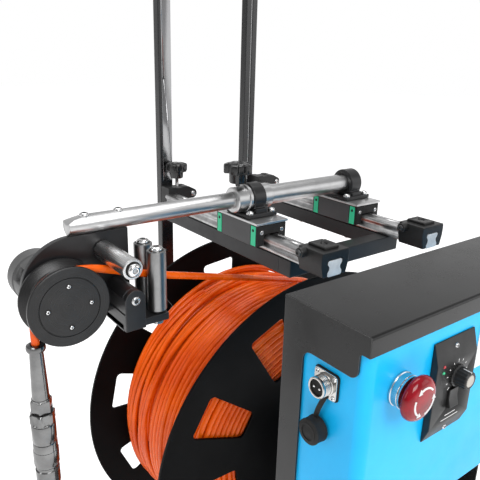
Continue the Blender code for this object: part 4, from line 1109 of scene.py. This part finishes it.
def make_encoder():
    """The encoder's can behind the plate, with three screws in its end."""
    low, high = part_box("encoder_housing")
    start, end = low.y, high.y
    profile = at(start, 1, (0, 28), (6.4, 28), (6.4, 0), (27, 0), (28, 1), (28, 10), (27.2, 10.8))
    profile += at(end, -1, (27.2, 20), (28, 19), (28, 3), (26.2, 0.6), (25, 0), (12, 0), (11.2, 1.5),
                  (0, 1.5))
    body = turned("encoder_body", "Y", PULLEY_XZ, profile, "encoder_alloy", 72)
    cut(body, block("encoder_tool", (PULLEY.x - 0.036, PULLEY.x - 0.014), (start + 0.016, start + 0.040),
                    (PULLEY.z + 0.006, PULLEY.z + 0.019), "encoder_alloy", 0.002, 3))
    mount(body, "arm", "black_anodised", "encoder_housing")
    bolts("encoder_screw", "Y", circle(PULLEY_XZ, 0.019, 3, 30), end - 0.0002, 1, 0.0028, 0.0018,
          "screw_steel", "arm")


def make_pulley():
    """Metering pulley: a flat front cover with four screws, a thin front flange and a long slope behind."""
    low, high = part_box("metering_pulley")
    y0, y1, rim = low.y, high.y, high.z - PULLEY.z
    seat = (CABLE_WRAP_Y - CABLE_R - GAP, CABLE_WRAP_Y + CABLE_R)
    root = WRAP_R - CABLE_R - GAP
    cover = at(y0, 1, (0, 0.4), (28.6, 0.4), (29, 1), (29.4, 1), (29.8, 0.3))
    cover += [(rim - 0.0010, y0), (rim - 0.0002, y0 + 0.0004), (rim, y0 + 0.0010)]
    groove = [(rim, seat[0] - 0.0010), (rim - 0.0006, seat[0] - 0.0002), (root + 0.0015, seat[0])]
    groove += [(root, seat[0] + 0.0015), (root, seat[1]), (root + 0.0010, seat[1] + 0.0050)]
    groove += [(root + 0.0036, seat[1] + 0.0100), (rim - 0.0008, y1 - 0.0032), (rim, y1 - 0.0024)]
    back = [(rim, y1 - 0.0006), (rim - 0.0006, y1), (0.0066, y1), (0.0066, y0 + 0.0030), (0, y0 + 0.0030)]
    pulley = turned("pulley_wheel", "Y", PULLEY_XZ, cover + groove + back, "pulley_metal", 96, 28)
    mount(pulley, "pulley", "black_anodised", "metering_pulley")
    spots = circle(PULLEY_XZ, 0.0208, 4)
    # Dark rubber discs round the screws stand for counterbored recesses; their darkness is painted shade.
    painted_recess_shade = rounded(0, 0.0030, y0 + 0.00005, y0 + 0.0010, 0.0002)
    for k, spot in enumerate(spots):
        mount(turned(f"pulley_recess_{k}", "Y", spot, painted_recess_shade, "rubber_black", 28), "pulley",
              "black_anodised")
    bolts("pulley_screw", "Y", spots, y0 + 0.0004, -1, 0.0020, 0.0009, "chrome", "pulley")


def roller_profile(inner, outer, low, high):
    """A sleeve roller with a bearing face set into each end."""
    start = [(inner, 0.0010), (outer * 0.62, 0.0010), (outer * 0.64, 0.0016), (outer * 0.76, 0.0016),
             (outer * 0.78, 0), (outer - 0.0007, 0), (outer, 0.0007)]
    return [(r, low + w) for r, w in start] + [(r, high - w) for r, w in reversed(start)]


def make_rollers():
    """Brushed sleeves with a dark bearing face set into each end."""
    finishes = {"upper_roller": ("bright_roller", "bright_steel"),
                "lower_roller": ("anodised", "black_anodised"),
                "guide_roller_front": ("roller_steel", "bright_steel"),
                "guide_roller_rear": ("roller_steel", "bright_steel")}
    for node, (finish, slot) in finishes.items():
        low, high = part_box(node)
        axis = "Z" if "guide" in node else "Y"
        centre = across(axis, JOINTS[node + "_spin"]["pos_m"])
        span = (low.z, high.z) if axis == "Z" else (low.y, high.y)
        r = (high.x - low.x) / 2
        piece = turned(node + "_sleeve", axis, centre, roller_profile(0.0043, r, *span), finish, 56)
        mount(piece, node, slot, node)
        for k, (end, sign) in enumerate(((span[0], 1), (span[1], -1))):
            face = sorted((end + sign * 0.0004, end + sign * 0.0030))
            mount(turned(f"{node}_bearing_{k}", axis, centre, rounded(0.0044, r * 0.77, *face, 0.0003),
                         "rubber_black", 48), node, slot)
    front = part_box("upper_roller_axle")[0].y + 0.0014
    mount(screw("upper_roller_screw", "Y", across("Y", JOINTS["upper_roller_spin"]["pos_m"]), front, -1,
                0.0062, 0.0030, "chrome", 0.42), "arm", "bright_steel")


def make_bracket():
    """Roller bracket: shelf, side wall and ear, the rollers' pins, their domed screws and nuts."""
    low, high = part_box("roller_bracket")
    shelf_z = (0.542, 0.550)
    base = shelf_z[0] + 0.001
    x, z = across("Y", JOINTS["lower_roller_spin"]["pos_m"])
    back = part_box("head_plate")[0].y - GAP
    side_y = (-0.0346, back - 0.0002)
    shelf = block("bracket_shelf", (low.x, high.x), (-0.0298, back), shelf_z, "anodised", 0.0008)
    mount(shelf, "arm", "black_anodised", "roller_bracket")
    outline = [(x - 0.0108, base), (x + 0.0108, base), *arc(x, z, 0.0108, 0, 180, 28)]
    for piece in (
            block("bracket_seat", (-0.183, high.x), (back - 0.002, high.y), shelf_z, "anodised", 0.0008),
            block("bracket_wall", (low.x, low.x + 0.006), side_y, (base, 0.563), "anodised", 0.0008),
            block("bracket_lip", (low.x, low.x + 0.0010), side_y, (0.560, z + 0.002), "anodised", 0.0003),
            prism("bracket_ear", outline, "Y", (-0.0352, -0.0292), "anodised", 0.0007),
            rod("bracket_pin", "Y", (x, z), 0.004, (-0.036, back), "dark_steel")):
        mount(piece, "arm", "black_anodised")
    mount(screw("bracket_pin_screw", "Y", (x, z), -0.0350, -1, 0.0048, 0.0024, "screw_steel"), "arm",
          "bright_steel")
    for node in ("guide_roller_front", "guide_roller_rear"):
        centre = across("Z", JOINTS[node + "_spin"]["pos_m"])
        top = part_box(node)[1].z
        for piece in (rod(node + "_pin", "Z", centre, 0.004, (0.5365, top + 0.001), "screw_steel"),
                      screw(node + "_cap", "Z", centre, top + 0.0004, 1, 0.0068, 0.0036, "chrome", 0.45),
                      nut(node + "_nut", "Z", centre, (0.5372, 0.5419), 0.0066, "screw_steel")):
            mount(piece, "arm", "bright_steel")


# ---------------------------------------------------------------- hood and controls

def flat_panel(name, outline, x, mat):
    """Sheet panel across X with crisp cut edges."""
    bm = bmesh.new()
    near = [bm.verts.new((x[0], u, v)) for u, v in outline]
    far = [bm.verts.new((x[1], u, v)) for u, v in outline]
    bm.faces.new(near)
    bm.faces.new(reversed(far))
    for i in range(len(near)):
        j = (i + 1) % len(near)
        bm.faces.new((near[i], near[j], far[j], far[i]))
    bm.normal_update()
    bmesh.ops.triangulate(bm, faces=[f for f in bm.faces if len(f.verts) > 4])
    return finish_mesh(bm, name, mat, 20)


def make_hood():
    """Folded sheet stand: top with a bent front lip, two side panels with rear legs and a cut-out."""
    low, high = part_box("hood")
    x0, x1, y0, y1, top = low.x, high.x, low.y, high.y, high.z
    sheet, lip, leg, bend = 0.002, 0.018, 0.026, 0.0030
    skin = [(y1, top), (y0 + bend, top), *arc(y0 + bend, top - bend, bend, 90, 180, 6)[1:], (y0, top - lip)]
    inner = [(y0 + sheet, top - lip), *arc(y0 + bend, top - bend, bend - sheet, 180, 90, 6),
             (y1, top - sheet)]
    cover = prism("hood_cover", skin + inner, "X", (x0, x1), "hood_grey", 0.0004)
    mount(cover, "frame", "black_paint", "hood")
    foot = low.z
    side = [(y1 - 0.0002, foot), (y1 - 0.0002, top - 0.0004), (y0 + 0.002, top - 0.0004),
            (y0 + 0.0006, top - 0.002)]
    side += [(y0 + 0.0006, top - lip), (y0 + 0.0075, top - lip), *arc(y0 + 0.0075, top - lip - 0.003, 0.003,
                                                                      90, 0, 5)[1:]]
    side += arc(y0 + 0.0185, top - 0.034, 0.008, 180, 270, 8)
    side += arc(y1 - leg - 0.010, top - 0.052, 0.010, 90, 0, 8)
    side += [(y1 - leg, foot)]
    for name, x in (("left", x0 - 0.0002), ("right", x1 - sheet + 0.0002)):
        mount(flat_panel(f"hood_side_{name}", side, (x, x + sheet), "hood_grey"), "frame", "black_paint")
    for name, span in (("left", (x0 + 0.001, x0 + 0.020)), ("right", (x1 - 0.020, x1 - 0.001))):
        flange = block(f"hood_flange_{name}", span, (y1 - sheet, y1), (foot, top - 0.002), "hood_grey",
                       0.0004)
        mount(flange, "frame", "black_paint")


def make_control_box():
    """Sheet steel case with softly rounded front corners and a blank label."""
    low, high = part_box("control_box")
    r = 0.011
    outline = [(low.x, high.y), *arc(low.x + r, low.y + r, r, 180, 270, 10),
               *arc(high.x - r, low.y + r, r, 270, 360, 10), (high.x, high.y)]
    case = prism("control_case", outline, "Z", (low.z, high.z), "blue_paint", 0.0012, 2)
    mount(case, "frame", "blue_paint", "control_box")
    plate = block("blank_label", (0.040, 0.128), (low.y - 0.0008, low.y + 0.0002), (0.527, 0.576),
                  "white_print", 0.0003)
    mount(plate, "frame", "blue_paint")


def make_estop():
    """Emergency stop: collar with a bright trim, and a mushroom head with three release arrows."""
    low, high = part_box("estop_button")
    centre = x, z = (low.x + high.x) / 2, (low.z + high.z) / 2
    front, face = low.y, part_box("estop_collar")[1].y
    collar = at(face, -1, (11.5, 0), (15.5, 0), (15.5, 1.6), (14.8, 2.2), (14.6, 8), (15, 8.6), (15, 10),
                (11.5, 10))
    mount(turned("estop_ring", "Y", centre, collar, "collar_metal", 56), "frame", "steel_grey",
          "estop_collar")
    trim = rounded(0.0140, 0.0153, face - 0.0080, face - 0.0068, 0.0003)
    mount(turned("estop_ring_trim", "Y", centre, trim, "chrome", 56), "frame", "bright_steel")
    head = at(front, 1, (0, 18), (10.8, 18), (10.8, 10.5), (18.5, 9.8), (19.7, 8.8), (20, 7.2), (19.7, 5.4),
              (18.6, 3.4), (16.6, 1.8), (14, 0.9), (10, 0.5), (6, 0.3), (0, 0.2))
    mount(turned("estop_head", "Y", centre, head, "red_shell", 72, 50), "estop_button", "red_plastic",
          "estop_button")
    for k in range(3):
        start = 40 + 120 * k
        band = arc(x, z, 0.0128, start, start + 78, 12) + arc(x, z, 0.0113, start + 78, start, 12)
        point = [circle(centre, r, 1, start + a)[0] for r, a in ((0.01205, 96), (0.0144, 76), (0.0097, 76))]
        for name, outline in ((f"estop_arrow_{k}", band), (f"estop_point_{k}", point)):
            mount(prism(name, outline, "Y", (front + 0.0001, front + 0.0016), "white_print", 0),
                  "estop_button", "red_plastic")


def make_speed_control():
    """Speed controller: sloped bezel, screws, knob with a pale insert, dial ticks, lamps and a rocker."""
    low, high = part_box("speed_panel")
    face, front = high.y, low.y
    middle = (low.x + high.x) / 2
    print_y = (front - 0.0001, front + 0.0004)
    outline = [(face, low.z), (face, high.z), (face - 0.0012, high.z), (front, high.z - 0.020),
               (front, low.z + 0.015), (face - 0.0012, low.z)]
    panel = prism("speed_bezel", outline, "X", (low.x, high.x), "moulded_black", 0.0006)
    px, py, pz = JOINTS["rocker_tilt"]["pos_m"]
    cut(panel, block("panel_tool", (px - 0.0073, px + 0.0073), (front - 0.002, front + 0.0045),
                     (pz - 0.0103, pz + 0.0103), "moulded_black", 0.0004))
    mount(panel, "frame", "black_plastic", "speed_panel")
    bolts("panel_screw", "Y", [(middle, high.z - 0.0085), (middle, low.z + 0.0060)], front + 0.0040, -1,
          0.0026, 0.0018, "screw_steel", "frame")
    x, z = across("Y", JOINTS["speed_knob_turn"]["pos_m"])
    for k in range(11):
        a = math.radians(-45 + 27 * k)
        c, s = math.cos(a), math.sin(a)
        r, half, w = 0.0148, 0.0016 if k % 5 == 0 else 0.0010, 0.00035
        tick = [(x + c * (r + u) - s * v, z + s * (r + u) + c * v)
                for u, v in ((-half, w), (half, w), (half, -w), (-half, -w))]
        mount(prism(f"dial_tick_{k}", tick, "Y", print_y, "white_print", 0), "frame", "black_plastic")
    lens = [(0, front + 0.001), (0.0015, front + 0.001), (0.0015, front - 0.0003), (0.0009, front - 0.0010),
            (0, front - 0.0012)]
    for name, height in (("red", 0.015), ("green", 0.009)):
        mount(turned(f"lamp_{name}", "Y", (middle - 0.0205, z + height), lens, f"{name}_lamp", 24),
              "frame", "black_plastic")
    for k, (v, half) in enumerate(((low.z + 0.0185, 0.013), (low.z + 0.0225, 0.008))):
        mount(block(f"panel_line_{k}", (middle - half, middle + half), print_y, (v, v + 0.0007),
                    "white_print", 0.0001, 1), "frame", "black_plastic")
    make_speed_knob(x, z)
    low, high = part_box("rocker_switch")
    c, s = math.cos(math.radians(-7)), math.sin(math.radians(-7))
    paddle = [(-0.0028, -0.009), (0.0022, -0.009), (0.0022, 0.009), (-0.0028, 0.009), (-0.0016, 0.0)]
    outline = [(py + u * c - v * s, pz + u * s + v * c) for u, v in paddle]
    piece = prism("rocker_paddle", outline, "X", (low.x, high.x), "moulded_black", 0.0004)
    mount(piece, "rocker_switch", "black_plastic", "rocker_switch")


def make_speed_knob(x, z):
    """A ribbed knob with a pale insert and a white pointer."""
    low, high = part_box("speed_knob")
    base, tip = high.y, low.y
    profile = at(base, -1, (0, 0), (10.4, 0), (10.4, 1.4), (9.2, 2.2))
    profile += at(tip, 1, (8.4, 1.2), (7.6, 0.2), (6, 0.2), (5.8, 1.2), (0, 1.2))
    body = turned("speed_knob_body", "Y", (x, z), profile, "moulded_black", 72, 30, (18, 0.022))
    mount(body, "speed_knob", "black_plastic", "speed_knob")
    insert = at(tip, 1, (0, 2), (5.7, 2), (5.7, 0.4), (5.2, 0), (0, 0))
    mount(turned("speed_knob_insert", "Y", (x, z), insert, "pale_insert", 40), "speed_knob",
          "black_plastic")
    pointer = block("speed_knob_pointer", (x - 0.0005, x + 0.0005), (tip + 0.0004, base - 0.0030),
                    (z + 0.0070, z + 0.0088), "white_print", 0.0001, 1)
    mount(pointer, "speed_knob", "black_plastic")


def make_connector():
    """Two-pin round panel connector: flange, gasket, threaded barrel, insert, pins and screws."""
    low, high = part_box("power_connector")
    y, z = centre = INLET_YZ
    wall, tip = high.x, low.x
    quarters = ((1, 1), (-1, 1), (-1, -1), (1, -1))
    corners = []
    for k, (u, v) in enumerate(quarters):
        corners += arc(y + u * 0.0095, z + v * 0.0085, 0.0034, 90 * k, 90 * k + 90, 5)
    flange = prism("connector_flange", corners, "X", (wall - 0.0030, wall - 0.0012), "nickel", 0.0004)
    mount(flange, "frame", "bright_steel", "power_connector")
    gasket = prism("connector_gasket", [(y + (u - y) * 1.07, z + (v - z) * 1.07) for u, v in corners], "X",
                   (wall - 0.0013, wall), "rubber_black", 0.0002)
    mount(gasket, "frame", "rubber")
    barrel = [(0.0074, wall - 0.0090), *at(tip, 1, (7.4, 0.4), (7.8, 0), (8.8, 0), (9.4, 0.6))]
    for k in range(4):
        barrel += at(tip + 0.0022 + 0.0014 * k, 1, (9.4, 0), (8.8, 0.4), (8.8, 0.8), (9.4, 1.2))
    barrel += at(wall, -1, (9.4, 4.2), (10.2, 3.8), (10.2, 2.4), (7.4, 2.4))
    mount(turned("connector_barrel", "X", centre, barrel, "nickel", 48, 25), "frame", "bright_steel")
    insert = rod("connector_insert", "X", centre, 0.0073, (tip + 0.0022, wall - 0.004), "rubber_black", 40)
    mount(insert, "frame", "rubber")
    pin = at(tip, 1, (0, 2.6), (1.1, 2.6), (1.1, 1), (0.6, 0.4), (0, 0.4))
    for k, s in enumerate((-1, 1)):
        mount(turned(f"connector_pin_{k}", "X", (y + s * 0.0032, z), pin, "chrome", 20), "frame",
              "bright_steel")
    bolts("connector_screw", "X", [(y + u * 0.0098, z + v * 0.0088) for u, v in quarters], wall - 0.0027,
          -1, 0.0022, 0.0014, "chrome", "frame")
    make_dust_cap(y, z, wall)


def make_dust_cap(y, z, wall):
    """Rubber cap that hangs on a flat strap below the connector."""
    centre = cap_y, cap_z = DUST_CAP_YZ
    cap = at(wall, -1, (0, 14), (10.8, 14), (11.8, 13.2), (12, 11.8), (11.6, 10.8), (11.6, 4.6), (12, 3.6),
             (12, 2.2), (11.2, 1.6), (9.6, 1.6), (9.6, 10.5), (0, 10.5))
    mount(turned("dust_cap_shell", "X", centre, cap, "rubber_black", 56, 40), "frame", "rubber", "dust_cap")
    ring = rounded(0.0070, 0.0088, wall - 0.0146, wall - 0.0138, 0.0003)
    mount(turned("dust_cap_rib", "X", centre, ring, "rubber_black", 48), "frame", "rubber")
    points = []
    for i in range(9):
        t = i / 8
        points.append(Vector((wall - 0.0036 - 0.0018 * math.sin(math.pi * t), y + (cap_y - y) * t,
                              z - 0.010 + (cap_z + 0.0095 - z + 0.010) * t)))
    strap = sweep("dust_cap_strap", points, 0.0014, "rubber_black", 10)
    for v in strap.data.vertices:
        v.co.y += (v.co.y - (y + cap_y) / 2) * 0.9
    mount(strap, "frame", "rubber")


# ---------------------------------------------------------------- wheels

def make_wheel(name):
    """Solid rubber tyre on a moulded rim with a hub."""
    low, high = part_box(name)
    centre = ((low.y + high.y) / 2, (low.z + high.z) / 2)
    width, r = high.x - low.x, (high.z - low.z) / 2
    m = (low.x + high.x) / 2
    half = width / 2
    tyre = [(0.0372, 0.002), (0.0400, 0.0004), (r - 0.0042, 0), (r - 0.0014, 0.0018), (r, 0.0060),
            (r, half - 0.0010), (r - 0.0012, half - 0.0004)]
    rim = [(0.0083, half - 0.0120), (0.0150, half - 0.0120), (0.0160, half - 0.0110),
           (0.0164, half - 0.0070), (0.0180, half - 0.0055), (0.0335, half - 0.0055), (0.0352, 0.0016),
           (0.0374, 0.0010)]
    for piece, side, finish, segments, nodes in (("_tyre", tyre, "rubber_black", 96, [name]),
                                                 ("_rim", rim, "moulded_black", 72, [])):
        profile = [(u, low.x + w) for u, w in side] + [(u, high.x - w) for u, w in reversed(side)]
        mount(turned(name + piece, "X", centre, profile, finish, segments, 25), name, "rubber", *nodes)


def main():
    add_camera()
    add_stage()
    add_lights()
    make_materials()
    make_cords()
    make_drum()
    make_running_gear()
    carry_over()
    make_uprights()
    make_rail_frame()
    for name, x in RAILS:
        make_clamp_block(name, x)
    make_star_knob("clamp_knob", 0.0158, 0.0095, 0.0026, (0.6183, 0.6313, 0.6413, 0.6540))
    make_star_knob("arm_knob", 0.0168, 0.0105, 0.0030, (0.6600, 0.6647, 0.6760, 0.6890))
    make_level_wind()
    make_arm()
    make_head_plate()
    make_pulley()
    make_rollers()
    make_bracket()
    make_hood()
    make_control_box()
    make_estop()
    make_speed_control()
    make_connector()
    for name in ("wheel_left", "wheel_right"):
        make_wheel(name)


main()
